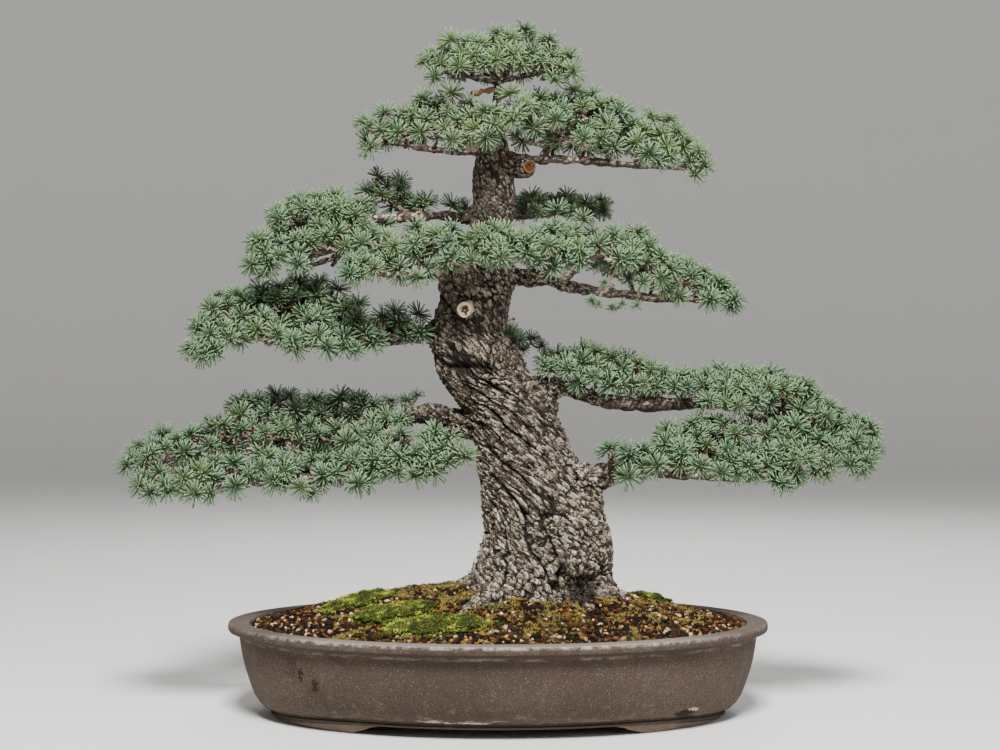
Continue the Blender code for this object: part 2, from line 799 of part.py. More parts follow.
def make_trunk(parts, cutters, soil):
    """The trunk with its roots, stubs and the starts of its limbs, and its hole in the soil."""
    trunk = trunk_body("trunk", parts, TRUNK_STATIONS[-1][0])
    limbs = new_collection("limbs")
    add_roots(limbs)
    for path in STUBS:
        tube(in_metres(path), limbs, "stub")
    for name, branch in BRANCHES.items():
        if name != "branch_crown":
            tube(limb_start(branch["limbs"][0]), limbs, "limb")
    join(trunk, limbs)
    finish(trunk, new_material("cedar_bark", (0.17, 0.13, 0.10), 0.9), 50)
    socket = trunk_body("trunk_socket", cutters, SOCKET_TOP, SOCKET_GAP)
    roots = new_collection("swollen_roots")
    add_roots(roots, SOCKET_GAP)
    join(socket, roots)
    cut(soil, socket, "MANIFOLD")


def sampled(path):
    """Points along a limb, a step apart, as (place, radius)."""
    found = []
    for start, end in zip(path, path[1:]):
        a = Vector(start[:3])
        b = Vector(end[:3])
        steps = max(1, round((b - a).length / WOOD_STEP))
        for step in range(steps):
            share = step / steps
            found.append((a.lerp(b, share), start[3] + (end[3] - start[3]) * share))
    found.append((Vector(path[-1][:3]), path[-1][3]))
    return found


def branch_wood(branch):
    """The branch's limbs as tube paths, the first without the part that belongs to the trunk."""
    first, *others = branch["limbs"]
    return [limb_rest(first)] + [in_metres(path) for path in others]


def trunk_wood():
    """The trunk and the limb bases on it, as (place, radius)."""
    found = []
    height = TRUNK_STATIONS[0][0]
    while height < TRUNK_STATIONS[-1][0]:
        x, y, half_x, half_y = between(TRUNK_STATIONS, height)
        found.append((Vector((x, y, height)) * MM, max(half_x, half_y) * MM))
        height += 5
    for path in STUBS:
        found += sampled(in_metres(path))
    for branch in BRANCHES.values():
        found += sampled(limb_start(branch["limbs"][0]))
    return found


def tuft_places(clumps):
    """Points spread evenly over the upper sides of the clumps, outside the other clumps."""
    found = []
    for number, (x, y, z, length, depth, height) in enumerate(clumps):
        for index in range(CLUMP_POINTS):
            up = 1 - (index + 0.5) / CLUMP_POINTS * (1 - LOWEST_FACING)
            round_turn = index * math.pi * (3 - math.sqrt(5)) + number
            level = math.sqrt(1 - up * up)
            place = Vector((
                x + length * level * math.cos(round_turn),
                y + depth * level * math.sin(round_turn),
                z + height * up,
            ))
            buried = any(
                ((place.x - other[0]) / other[3]) ** 2
                + ((place.y - other[1]) / other[4]) ** 2
                + ((place.z - other[2]) / other[5]) ** 2
                < 0.98
                for other in clumps
            )
            if not buried:
                found.append(lined_up(*place))
    return found


def chosen_tufts(places, root, others, foreign_wood):
    """Picks places one by one, each the furthest from those picked, clear of other branches."""
    free = [
        place
        for place in places
        if all((place - other).length > 2 * NEEDLE_TIP + TUFT_CLEARANCE for other in others)
        and all((place - at).length > NEEDLE_TIP + radius + TUFT_CLEARANCE for at, radius in foreign_wood)
    ]
    picked = [max(free, key=lambda place: (place - root).length)]
    nearest = [(place - picked[0]).length for place in free]
    while max(nearest) > TUFT_SPACING:
        best = nearest.index(max(nearest))
        picked.append(free[best])
        nearest = [min(old, (place - picked[-1]).length) for old, place in zip(nearest, free)]
    return picked


def make_tuft(place, root, turn, collection):
    """A ball of three-sided needles; the face that looks at the root is drawn out as the stalk."""
    bm = bmesh.new()
    bmesh.ops.create_icosphere(bm, subdivisions=1, radius=TUFT_CORE)
    bm.faces.ensure_lookup_table()
    stalk = bm.faces[0]
    along = (root - place).normalized()
    facing = stalk.calc_center_median().normalized().rotation_difference(along).to_matrix().to_4x4()
    bm.transform(Matrix.Rotation(turn, 4, along) @ facing)
    drawn = bmesh.ops.extrude_discrete_faces(bm, faces=[stalk])["faces"]
    needles = [face for face in bm.faces if face not in drawn and len(face.verts) == 3]
    reach = (root - place).length - drawn[0].calc_center_median().length
    bmesh.ops.translate(bm, verts=drawn[0].verts, vec=along * reach)
    inner = needles[0].calc_center_median().length
    bmesh.ops.poke(bm, faces=needles, offset=NEEDLE_TIP - inner)
    bmesh.ops.translate(bm, verts=bm.verts, vec=place)
    return object_from(bm, "tuft", collection)


def make_branches(parts):
    draw = random.Random(SEED)
    bark = new_material("twig_bark", (0.20, 0.13, 0.08), 0.85)
    needle_green = new_material("needles", (0.16, 0.27, 0.17), 0.6)
    wood = {name: branch_wood(branch) for name, branch in BRANCHES.items()}
    placed = []
    for name, branch in BRANCHES.items():
        foreign = trunk_wood()
        for other, paths in wood.items():
            if other == name:
                continue
            for path in paths:
                foreign += sampled(path)
        root = Vector(wood[name][0][0][:3])
        own_wood = [spot for path in wood[name] for spot in sampled(path)]
        own_wood = [spot for spot in own_wood if (spot[0] - root).length > BARE_STRETCH]
        tufts = chosen_tufts(tuft_places(branch["clumps"]), root, placed, foreign)
        placed += tufts
        repeats = new_collection(name + "_repeats")
        for path in wood[name][1:]:
            tube(path, repeats, "side_limb", 1)
        for place in tufts:
            nearest = min(own_wood, key=lambda spot: (spot[0] - place).length)[0]
            make_tuft(place, nearest, draw.uniform(0, 2 * math.pi), repeats)
        limb = tube(wood[name][0], parts, name)
        join(limb, repeats)
        finish(limb, needle_green, 30)
        limb.data.materials.append(bark)
        print(name, len(tufts), "tufts")


def main():
    clear_scene()
    parts = new_collection("cedar_bonsai")
    cutters = new_collection("cutters")
    make_pot(parts, cutters)
    soil = make_soil(parts)
    make_drain_meshes(parts, cutters, soil)
    make_trunk(parts, cutters, soil)
    make_moss(parts, cutters, soil)
    drop_scraps(soil)
    make_branches(parts)


main()
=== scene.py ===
"""The looks of the cedar bonsai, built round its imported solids: pot, gravel, moss, bark and needles."""

import math
import random

import bpy
import numpy as np
from mathutils import Matrix, Vector, noise


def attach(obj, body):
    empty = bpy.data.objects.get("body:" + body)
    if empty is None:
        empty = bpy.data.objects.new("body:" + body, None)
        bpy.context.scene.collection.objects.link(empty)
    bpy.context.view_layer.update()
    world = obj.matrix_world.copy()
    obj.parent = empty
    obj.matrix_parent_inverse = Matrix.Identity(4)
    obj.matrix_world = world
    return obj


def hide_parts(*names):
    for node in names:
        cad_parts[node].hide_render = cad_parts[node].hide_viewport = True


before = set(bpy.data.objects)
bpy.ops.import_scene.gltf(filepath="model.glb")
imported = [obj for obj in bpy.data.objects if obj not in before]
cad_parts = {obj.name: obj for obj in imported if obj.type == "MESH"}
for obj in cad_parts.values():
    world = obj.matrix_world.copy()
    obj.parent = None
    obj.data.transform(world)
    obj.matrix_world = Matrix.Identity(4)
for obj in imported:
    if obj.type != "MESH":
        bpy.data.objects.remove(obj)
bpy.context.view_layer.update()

MM = 0.001

# The camera stands where the photographer stood: 1.9 m in front of the trunk and level, at the
# height of the lowest branches, with a lens that just takes in the tree and its pot.
CAMERA_DISTANCE = 1900
CAMERA_HEIGHT = 337.6
SENSOR_WIDTH = 36
LENS = 68.4
eye = (0.002, -CAMERA_DISTANCE * MM, CAMERA_HEIGHT * MM)
bpy.ops.object.camera_add(location=eye, rotation=(math.pi / 2, 0, 0))
camera = bpy.context.object
camera.data.sensor_width = SENSOR_WIDTH
camera.data.lens = LENS
bpy.context.scene.camera = camera
# What stands at this height stays there in the picture, however far back it is, in millimetres.
HORIZON = 338


def lined_up(x, y, z):
    """The place y behind the trunk that shows where (x, z) at the trunk does, from millimetres."""
    spread = 1 + y / CAMERA_DISTANCE
    return Vector((x * spread, y, HORIZON + (z - HORIZON) * spread)) * MM


# The pot is an oval bowl of coarse unglazed clay, pressed in a mould and fired: a flat lip, a
# drawn-in base band and four low feet, with two holes in its floor under squares of plastic mesh.
POT_SIDES = 192
# Half length and height, up the outside of the pot and down its inside, in millimetres.
CLAY_WALL = [
    (224.6, 9), (226.5, 9.9), (226.6, 11.3), (224.4, 12.4), (224.4, 13.9), (227.4, 15.4), (229.6, 16.2),
    (232.8, 17.8), (238, 21.4), (242.6, 26), (246.3, 32.4), (249.2, 40), (251.8, 48), (254, 57), (255.6, 66),
    (256.8, 74), (257.6, 79.6), (258.4, 81.8), (260.4, 83.2), (265.4, 84.3), (267.6, 85.0), (268.4, 86.2),
    (268.7, 88.6), (268.4, 91.4), (267.6, 92.7), (266, 93.2), (258, 93.2), (250.5, 93.2), (248.6, 92.6),
    (247.6, 90.6), (246.4, 82), (245, 70), (243, 56), (240, 44), (236, 34), (230, 26), (222, 21),
]
# The ring of the feet, outside and inside.
FOOT_OUTER = [(221.5, 0), (223, 0.7), (224, 2.4), (224, 11)]
FOOT_INNER = [(190, -9), (190, 22)]
# Half width and height of the arch between the front feet, from the ground up.
FOOT_ARCH = [(125, -1), (122, 2), (112, 6.5), (103, 9.1), (90, 10.4)]
# Half width and height of the gap between the feet at each end of the pot, in metres.
FOOT_END_GAP = [(0.052, -0.001), (0.046, 0.0101)]
DRAIN_HOLE_X = 0.09
DRAIN_HOLE_RADIUS = 0.012
# How far the base edge drops towards the ends of the pot, in millimetres.
BASE_DROP = 8.0
CHIP_PLACE = Vector((0.1785, -0.084, 0.0155))
CHIP_REACH = 0.0085
CHIP_DEPTH = 4.2


def let_go():
    """Goes back to object mode with nothing selected."""
    if bpy.context.object and bpy.context.object.mode != "OBJECT":
        bpy.ops.object.mode_set(mode="OBJECT")
    bpy.ops.object.select_all(action="DESELECT")


def pick(*pieces):
    """Selects these pieces, the first of them as the active one."""
    let_go()
    for piece in pieces:
        piece.select_set(True)
    bpy.context.view_layer.objects.active = pieces[0]


def drawn_up(name, sides, rings):
    """A closed shell drawn up through rings of half x, half y and centre, all in metres."""
    let_go()
    bpy.ops.mesh.primitive_circle_add(vertices=sides, radius=1, fill_type="NGON", location=rings[0][2:])
    shell = bpy.context.object
    shell.name = name
    bpy.ops.object.mode_set(mode="EDIT")
    bpy.ops.transform.resize(value=(rings[0][0], rings[0][1], 1), center_override=rings[0][2:])
    for before, after in zip(rings, rings[1:]):
        step = [b - a for a, b in zip(before[2:], after[2:])]
        bpy.ops.mesh.extrude_region_move(TRANSFORM_OT_translate={"value": step})
        growth = (after[0] / before[0], after[1] / before[1], 1)
        bpy.ops.transform.resize(value=growth, center_override=after[2:])
    bpy.ops.mesh.select_all(action="SELECT")
    bpy.ops.mesh.normals_make_consistent(inside=False)
    bpy.ops.object.mode_set(mode="OBJECT")
    bpy.ops.object.transform_apply(location=True, rotation=True, scale=True)
    return shell


def oval_rings(wall):
    """The pot is 73.5 mm less in half width than in half length at its lip, and 83 mm less at its foot."""
    return [(a * MM, (a - 83 + 9.5 * z / 93) * MM, 0, 0, z * MM) for a, z in wall]


def applied(piece, kind, **settings):
    """Adds a modifier with these settings and applies it."""
    pick(piece)
    modifier = piece.modifiers.new(kind.lower(), kind)
    for name, value in settings.items():
        setattr(modifier, name, value)
    bpy.ops.object.modifier_apply(modifier=modifier.name)


def carve(piece, cutter, operation="DIFFERENCE"):
    """Cuts the cutter out of the piece, or adds it, and takes the cutter away."""
    applied(piece, "BOOLEAN", operation=operation, solver="EXACT", object=cutter)
    bpy.data.objects.remove(cutter)


def smooth(piece, degrees):
    """Shades a piece smooth, but for edges sharper than this."""
    pick(piece)
    bpy.ops.object.shade_smooth_by_angle(angle=math.radians(degrees))


def dress(piece, material):
    """Gives the piece this material and no other."""
    piece.data.materials.clear()
    piece.data.materials.append(material)


class Signal:
    """An output of a material's nodes. Arithmetic on it adds Math nodes."""

    def __init__(self, tree, socket=None):
        self.tree = tree
        self.socket = socket

    def add(self, kind, settings=None, sockets=None, output=0):
        """Adds a node: its settings first, a ramp's stops among them, then its sockets."""
        node = self.tree.nodes.new("ShaderNode" + kind)
        for name, value in (settings or {}).items():
            if name != "stops":
                setattr(node, name, value)
                continue
            while len(node.color_ramp.elements) < len(value):
                node.color_ramp.elements.new(0.5)
            for element, (position, colour) in zip(node.color_ramp.elements, value):
                element.position = position
                element.color = (*colour, 1)
        for name, value in (sockets or {}).items():
            if isinstance(value, Signal):
                self.tree.links.new(value.socket, node.inputs[name])
            else:
                node.inputs[name].default_value = value
        return Signal(self.tree, node.outputs[output])

    def maths(self, operation, *values):
        return self.add("Math", {"operation": operation}, dict(enumerate(values)))

    def vectors(self, operation, *values):
        return self.add("VectorMath", {"operation": operation}, dict(enumerate(values)))

    def __add__(self, other):
        return self.maths("ADD", self, other)

    def __mul__(self, other):
        return self.maths("MULTIPLY", self, other)

    def __sub__(self, other):
        return self.maths("SUBTRACT", self, other)

    def __rsub__(self, other):
        return self.maths("SUBTRACT", other, self)

    __radd__ = __add__
    __rmul__ = __mul__

    def ramp(self, low, high):
        """Runs from 0 at low to 1 at high, smoothly."""
        settings = {"interpolation_type": "SMOOTHSTEP"}
        return self.add("MapRange", settings, {"Value": self, "From Min": low, "From Max": high})

    def noise(self, where, scale, detail=3.0, roughness=0.55, output=0):
        """Cloudy noise, as a number or, from output 1, as three."""
        sockets = {"Vector": where, "Scale": scale, "Detail": detail, "Roughness": roughness}
        return self.add("TexNoise", None, sockets, output)

    def cells(self, where, scale=1.0, output=0, feature="F1"):
        """How far a cell's middle or edge is, or from output 1 its own colour, or from 2 its middle."""
        return self.add("TexVoronoi", {"feature": feature}, {"Vector": where, "Scale": scale}, output)

    def mix(self, share, first, second):
        """One colour at share 0 and the other at share 1."""
        first = first if isinstance(first, Signal) else (*first, 1)
        second = second if isinstance(second, Signal) else (*second, 1)
        return self.add("Mix", {"data_type": "RGBA"}, {0: share, 6: first, 7: second}, 2)

    def placed(self, x=1.0, y=1.0, z=1.0):
        """Object coordinates, stretched."""
        return self.vectors("MULTIPLY", self.add("TexCoord", output=3), (x, y, z))

    def parts(self, vector):
        """The three numbers of a vector."""
        split = self.add("SeparateXYZ", None, {"Vector": vector}).socket.node
        return [Signal(self.tree, socket) for socket in split.outputs]

    def kept(self, name):
        """A vector attribute of the mesh."""
        return self.add("Attribute", {"attribute_name": name}, output=1)

    def bump(self, height, depth):
        """A bump as deep as this where the height is 1."""
        return self.add("Bump", None, {"Height": height, "Distance": depth, "Strength": 1.0})


def new_finish(name):
    """A new material: a Signal to start its nodes from, and the shader's sockets by name."""
    material = bpy.data.materials.new(name)
    material.use_nodes = True
    return material, Signal(material.node_tree), material.node_tree.nodes["Principled BSDF"].inputs


def feed(start, socket, signal):
    """Links a signal to a socket of the shader."""
    start.tree.links.new(signal.socket, socket)


clay, start, shader = new_finish("unglazed_clay")
where = start.placed()
x, y, z = start.parts(where)
cloud = start.noise(where, 9, 4, 0.6)
mottle = start.noise(where, 110, 5, 0.7)
grit = start.noise(where, 900, 3, 0.7)
streaks = start.noise(start.placed(60, 60, 7), 1, 3)
# The clay itself, cloudy and mottled, with dark grit, pale specks and grains of sand.
colour = start.mix(cloud.ramp(0.34, 0.66), (0.056, 0.037, 0.026), (0.088, 0.060, 0.044))
colour = start.mix(mottle.ramp(0.42, 0.66) * 0.5, colour, (0.066, 0.045, 0.033))
colour = start.mix(streaks.ramp(0.52, 0.75) * 0.2, colour, (0.18, 0.15, 0.125))
colour = start.mix(grit.ramp(0.51, 0.43) * 0.7, colour, (0.040, 0.027, 0.019))
specks = grit.ramp(0.56, 0.66) * start.noise(where, 34, 3, 0.6).ramp(0.25, 0.52)
colour = start.mix(specks * 0.5, colour, (0.28, 0.235, 0.195))
SAND_SCALE = 430.0
sand = start.cells(where, SAND_SCALE)
lot, _, _ = start.parts(start.cells(where, SAND_SCALE, 1))
colour = start.mix(sand.ramp(0.26, 0.12) * lot.ramp(0.84, 0.94) * 0.6, colour, (0.46, 0.40, 0.335))
# The lip: painted highlight on its top and worn edge, strongest at the front, and painted shade on its face and
# in a line under it; damp and lime lie below. Heights are in metres.
lip = z.ramp(0.0842, 0.0856)
front = y.ramp(-0.09, -0.165)
# Painted shade on the lip, broken up by the mottle.
colour = start.mix(lip * mottle.ramp(0.60, 0.40) * 0.5, colour, (0.030, 0.022, 0.017))
# Painted shade over the front of the body, below the lip.
colour = start.mix((1 - lip) * front * 0.32, colour, (0.026, 0.017, 0.012))
# A painted highlight on the lip's top, strongest at the front.
top = z.ramp(0.0914, 0.0928)
colour = start.mix(top * (0.08 + front * 0.34), colour, (0.33, 0.285, 0.245))
# The rubbed edge of the lip: pale wear with a painted highlight, strongest at the front.
rubbed = start.noise(where, 130, 4, 0.7).ramp(0.40, 0.66)
worn_and_highlit = z.ramp(0.0890, 0.0912) * z.ramp(0.0934, 0.0924) * rubbed
colour = start.mix(worn_and_highlit * (0.18 + front * 0.38), colour, (0.48, 0.435, 0.385))
stain = (1 - lip) * z.ramp(0.066, 0.078) * streaks.ramp(0.30, 0.62)
colour = start.mix(stain * 0.6, colour, (0.038, 0.027, 0.021))
dried = start.noise(start.placed(45, 45, 190), 1, 4, 0.75).ramp(0.45, 0.62)
tide = z.ramp(0.0772, 0.0790) * z.ramp(0.0818, 0.0800) * dried
colour = start.mix(tide * 0.4, colour, (0.25, 0.215, 0.180))
# A painted shadow in a thin line just under the lip.
colour = start.mix((1 - lip) * z.ramp(0.0815, 0.0838) * 0.7, colour, (0.020, 0.014, 0.011))
# The base edge drops towards the ends of the pot, and so do the marks that follow it.
end = (start.maths("ABSOLUTE", x) - 0.12).ramp(0.0, 0.155)
level = z + end * 0.010
crust = start.noise(start.placed(60, 60, 160), 1, 4, 0.75)
chalky = x.ramp(-0.085, -0.060) * x.ramp(0.025, -0.005) * 0.65 + 0.16
lime = level.ramp(0.0135, 0.0155) * level.ramp(0.0205, 0.0170) * crust.ramp(0.47, 0.62)
colour = start.mix(lime * chalky, colour, (0.50, 0.455, 0.40))
# Painted shade in the groove round the base.
groove_shade = level.ramp(0.0085, 0.0100) * level.ramp(0.0135, 0.0115)
colour = start.mix(groove_shade * 0.6, colour, (0.026, 0.018, 0.013))
patina = z.ramp(0.048, 0.020) * mottle.ramp(0.45, 0.30)
colour = start.mix(patina * 0.5, colour, (0.170, 0.145, 0.110))
# The base band and the feet are painted lighter, as painted light on them.
under = level.ramp(0.0150, 0.0128)
colour = start.mix(under * 0.45, colour, (0.085, 0.068, 0.053))
# The feet are painted lighter still: painted light, with patches of pale crust.
feet_light_and_crust = level.ramp(0.0090, 0.0078) * crust.ramp(0.30, 0.62)
colour = start.mix(0.35 * level.ramp(0.0090, 0.0078) + feet_light_and_crust * 0.3, colour, (0.240, 0.185, 0.140))


def spot(x_at, z_at, wide, high, ragged):
    """A mask for a ragged mark on the front of the pot: 1 within its half width and half height."""
    across = (x - x_at) * (1 / wide)
    up = (z - z_at) * (1 / high)
    inside = 1 - (across * across + up * up) + (start.noise(where, 330, 3, 0.7) - 0.5) * ragged
    return inside.ramp(0.0, 0.2) * y.ramp(-0.02, -0.04)


# Dark scrapes at the left: x, z, half width and half height in metres, and how dark they are.
SCRAPES = [
    (-0.1845, 0.0558, 0.0022, 0.0070, 0.9), (-0.1710, 0.0475, 0.0032, 0.0076, 0.85),
    (-0.1930, 0.0640, 0.0065, 0.0110, 0.32),
]
for x_at, z_at, wide, high, depth in SCRAPES:
    colour = start.mix(spot(x_at, z_at, wide, high, 7) * depth, colour, (0.014, 0.005, 0.002))
# The chip in the base edge at the right: pale fresh clay with a painted highlight at its upper right edge, over
# painted shade in its hollow.
colour = start.mix(spot(0.1845, 0.0208, 0.0064, 0.0023, 3) * 0.85, colour, (0.46, 0.39, 0.31))
colour = start.mix(spot(0.1765, 0.0172, 0.0105, 0.0048, 4), colour, (0.010, 0.005, 0.002))
feed(start, shader["Base Color"], colour)
feed(start, shader["Roughness"], 0.78 + mottle * 0.14)
shader["Specular IOR Level"].default_value = 0.2
relief = grit * 0.55 + start.noise(where, 40, 3, 0.5) * 0.6
feed(start, shader["Normal"], start.bump(relief, 0.0012))

pot = drawn_up("clay_pot", POT_SIDES, oval_rings(CLAY_WALL))
feet = drawn_up("pot_feet", POT_SIDES, oval_rings(FOOT_OUTER))
carve(feet, drawn_up("foot_hollow", POT_SIDES, oval_rings(FOOT_INNER)))
carve(feet, drawn_up("foot_arch", 4, [(a * 1.414 * MM, 0.5, 0, 0, z * MM) for a, z in FOOT_ARCH]))
carve(feet, drawn_up("foot_end_gap", 4, [(0.5, half, 0, 0, z) for half, z in FOOT_END_GAP]))
carve(pot, feet, "UNION")
for side in (-1, 1):
    hole = [(DRAIN_HOLE_RADIUS, DRAIN_HOLE_RADIUS, side * DRAIN_HOLE_X, 0, z) for z in (-0.01, 0.05)]
    carve(pot, drawn_up("drain_hole", 40, hole))
# Hand-pressed clay is never quite true: the wall sways, the base edge drops and one place is chipped.
for vertex in pot.data.vertices:
    place = vertex.co
    sway = noise.noise(place / 0.11) * 0.7 + noise.noise(place / 0.028) * 0.28
    away = Vector((place.x, place.y * 2.2, 0)).normalized()
    end = min(1.0, max(0.0, (abs(place.x) - 0.12) / 0.11)) ** 2
    drop = BASE_DROP * end * min(1.0, place.z / 0.009, max(0.0, (0.034 - place.z) / 0.016))
    chip = math.exp(-((place - CHIP_PLACE).length / CHIP_REACH) ** 2)
    vertex.co += (away * (sway * 0.8 - CHIP_DEPTH * chip) - Vector((0, 0, drop))) * MM
dress(pot, clay)
smooth(pot, 32)
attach(pot, "root")
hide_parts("pot")

mesh_plastic, start, shader = new_finish("drain_plastic")
grime = start.noise(start.placed(), 300, 3)
colour = start.mix(grime.ramp(0.4, 0.8), (0.012, 0.012, 0.013), (0.05, 0.04, 0.03))
feed(start, shader["Base Color"], colour)
feed(start, shader["Roughness"], 0.4 + grime * 0.3)
for name in ("drain_mesh_left", "drain_mesh_right"):
    dress(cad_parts[name], mesh_plastic)


# The soil is coarse gravel: baked clay, pumice and lava grains of 3 to 6 mm, heaped in a low mound
# round the trunk and worn into each other at the top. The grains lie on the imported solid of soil.
GRAIN_SPACING = 4.05
# Grains are made in a few kinds. Those of 3 mm radius and more are round, the others have corners.
GRAIN_KINDS = 8
ROUND_KINDS = 2
GRAIN_SIZES = (1.4, 1.6, 1.8, 2.1, 2.4, 3.1)
SOIL_HALF_LENGTH = 0.2445
SOIL_HALF_WIDTH = 0.171
FULL_TURN = 6.283
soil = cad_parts["soil"]


def pattern_from(piece):
    """The points and triangles of a modelled piece, which is then put away."""
    piece.data.calc_loop_triangles()
    points = np.array([vertex.co for vertex in piece.data.vertices])
    faces = np.array([face.vertices for face in piece.data.loop_triangles])
    bpy.data.objects.remove(piece)
    return points, faces


def strewn(name, shapes, copies, attribute):
    """One mesh of many copies. A shape is its points, faces and the first number of their attribute;
    a copy is a shape's number, a 3 by 3 matrix, a place, and the attribute's other two numbers."""
    points, faces, values, count = [], [], [], 0
    for number, matrix, place, second, third in copies:
        shape_points, shape_faces, first = shapes[number]
        points.append(shape_points @ np.asarray(matrix).T + np.asarray(place))
        faces.append(shape_faces + count)
        values.append(np.stack([first, np.full(len(first), second), np.full(len(first), third)], 1))
        count += len(shape_points)
    points, faces, values = np.concatenate(points), np.concatenate(faces), np.concatenate(values)
    mesh = bpy.data.meshes.new(name)
    mesh.vertices.add(len(points))
    mesh.vertices.foreach_set("co", points.astype(np.float32).ravel())
    mesh.loops.add(faces.size)
    mesh.loops.foreach_set("vertex_index", faces.astype(np.int32).ravel())
    mesh.polygons.add(len(faces))
    mesh.polygons.foreach_set("loop_start", np.arange(0, faces.size, 3, dtype=np.int32))
    mesh.update(calc_edges=True)
    made = mesh.attributes.new(attribute, "FLOAT_VECTOR", "POINT")
    made.data.foreach_set("vector", values.astype(np.float32).ravel())
    piece = bpy.data.objects.new(name, mesh)
    bpy.context.scene.collection.objects.link(piece)
    return piece


def astray(draw, spread=1):
    """A random vector, mostly about as long as its spread."""
    return Vector((draw.gauss(0, spread), draw.gauss(0, spread), draw.gauss(0, spread)))


def turned(draw):
    """A random turn, as a matrix."""
    axis = astray(draw)
    return np.array(Matrix.Rotation(draw.uniform(0, FULL_TURN), 3, axis))


draw = random.Random(3)
grain_shapes = []
for kind in range(GRAIN_KINDS):
    let_go()
    if kind < ROUND_KINDS:
        bpy.ops.mesh.primitive_ico_sphere_add(subdivisions=1, radius=1)
    else:
        bpy.ops.mesh.primitive_uv_sphere_add(segments=4, ring_count=2, radius=1.15)
    pebble = bpy.context.object
    for vertex in pebble.data.vertices:
        vertex.co *= draw.uniform(0.72, 1.18)
    points, faces = pattern_from(pebble)
    grain_shapes.append((points, faces, np.full(len(points), kind / GRAIN_KINDS)))


def soil_top(x, y):
    """The height of the packed soil's surface here, or None outside the pot."""
    hit, place, *_ = soil.ray_cast((x, y, 0.3), (0, 0, -1))
    return place.z if hit and place.z > 0.08 else None


grains = []
rows = int(520 / GRAIN_SPACING)
for row in range(rows):
    for column in range(rows):
        x = (column - rows / 2 + (row % 2) / 2 + draw.uniform(-0.32, 0.32)) * GRAIN_SPACING * MM
        y = ((row - rows / 2) * 0.866 + draw.uniform(-0.32, 0.32)) * GRAIN_SPACING * MM
        size = draw.choice(GRAIN_SIZES) * MM
        if (x / SOIL_HALF_LENGTH) ** 2 + (y / SOIL_HALF_WIDTH) ** 2 > 1:
            continue
        height = soil_top(x, y)
        if height is None:
            continue
        flat = np.diag([size * draw.uniform(0.85, 1.3), size, size * draw.uniform(0.6, 0.95)])
        patch = 0.5 + 0.5 * noise.noise(Vector((x, y, 0)) / 0.03)
        kind = draw.randrange(ROUND_KINDS) if size > 3 * MM else draw.randrange(ROUND_KINDS, GRAIN_KINDS)
        turn = turned(draw) @ flat
        place = (x, y, height + draw.uniform(-0.3, 1.1) * MM)
        grains.append((kind, turn, place, draw.random(), patch))
gravel = strewn("gravel", grain_shapes, grains, "grain")

gravel_finish, start, shader = new_finish("gravel")
_, lot, patch = start.parts(start.kept("grain"))
# Dark lava, brown and orange clay, and cream pumice, by how many of the grains they are.
stops = [
    (0.00, (0.004, 0.002, 0.001)), (0.34, (0.009, 0.004, 0.002)), (0.56, (0.026, 0.010, 0.003)),
    (0.70, (0.072, 0.026, 0.006)), (0.79, (0.190, 0.072, 0.013)), (0.83, (0.034, 0.026, 0.008)),
    (0.89, (0.330, 0.165, 0.042)), (0.952, (0.680, 0.520, 0.320)), (0.985, (0.190, 0.090, 0.052)),
]
colour = start.add("ValToRGB", {"stops": stops}, {"Fac": lot})
dust = start.noise(start.placed(), 700, 3)
colour = start.mix(dust.ramp(0.3, 0.8) * 0.45, colour, (0.014, 0.008, 0.005))
colour = start.mix(patch.ramp(0.5, 0.9) * 0.35, colour, (0.060, 0.050, 0.012))
feed(start, shader["Base Color"], colour)
feed(start, shader["Roughness"], 0.8 + dust * 0.15)
shader["Specular IOR Level"].default_value = 0.12
feed(start, shader["Normal"], start.bump(dust, 0.0006))
dress(gravel, gravel_finish)
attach(gravel, "root")

# The soil under the grains is painted very dark, as painted shade in the gaps between them.
earth, start, shader = new_finish("earth_with_painted_shade")
crumb = start.noise(start.placed(), 260, 5, 0.7)
colour = start.mix(crumb.ramp(0.35, 0.7), (0.005, 0.003, 0.0015), (0.032, 0.017, 0.008))
feed(start, shader["Base Color"], colour)
feed(start, shader["Roughness"], 0.75 + crumb * 0.2)
feed(start, shader["Normal"], start.bump(crumb, 0.003))
dress(soil, earth)


# Moss grows in bright cushions on the gravel at the front left, with one more at the right, and as
# a thin olive film between the grains round the trunk. Each cushion is a dome of short green shoots.
# Centre x and y, half length, half width and thickness in millimetres, and how pale the moss is.
MOSS_CUSHIONS = [
    (-136, -28, 34, 25, 15, 0.30), (-100, -88, 40, 17, 15, 0.30), (-62, -128, 50, 15, 14, 0.30),
    (154, 26, 20, 14, 11, 0.10),
]
SHOOT_RADIUS = 0.62 * MM
SHOOT_LENGTH = 2.8 * MM
SHOOTS_PER_SQUARE_MM = 1 / 1.4
FILM_SHOOTS = 9600


def mound(x, y):
    """The height of the soil without its grains, in metres."""
    reach = min(1.0, (x / 0.2475) ** 2 + (y / 0.174) ** 2)
    return 0.0885 + 0.040 * (1 - reach) ** 1.25


let_go()
bpy.ops.mesh.primitive_cone_add(
    vertices=3, radius1=SHOOT_RADIUS, radius2=0, depth=SHOOT_LENGTH, location=(0, 0, 1.1 * MM)
)
bpy.ops.object.transform_apply(location=True)
points, faces = pattern_from(bpy.context.object)
shoot_shape = (points, faces, (points[:, 2] + 0.3 * MM) / SHOOT_LENGTH)


def spun(way, draw):
    """A matrix that points the Z axis this way, with a random turn about it."""
    return way.to_track_quat("Z", "Y").to_matrix() @ Matrix.Rotation(draw.uniform(0, FULL_TURN), 3, "Z")


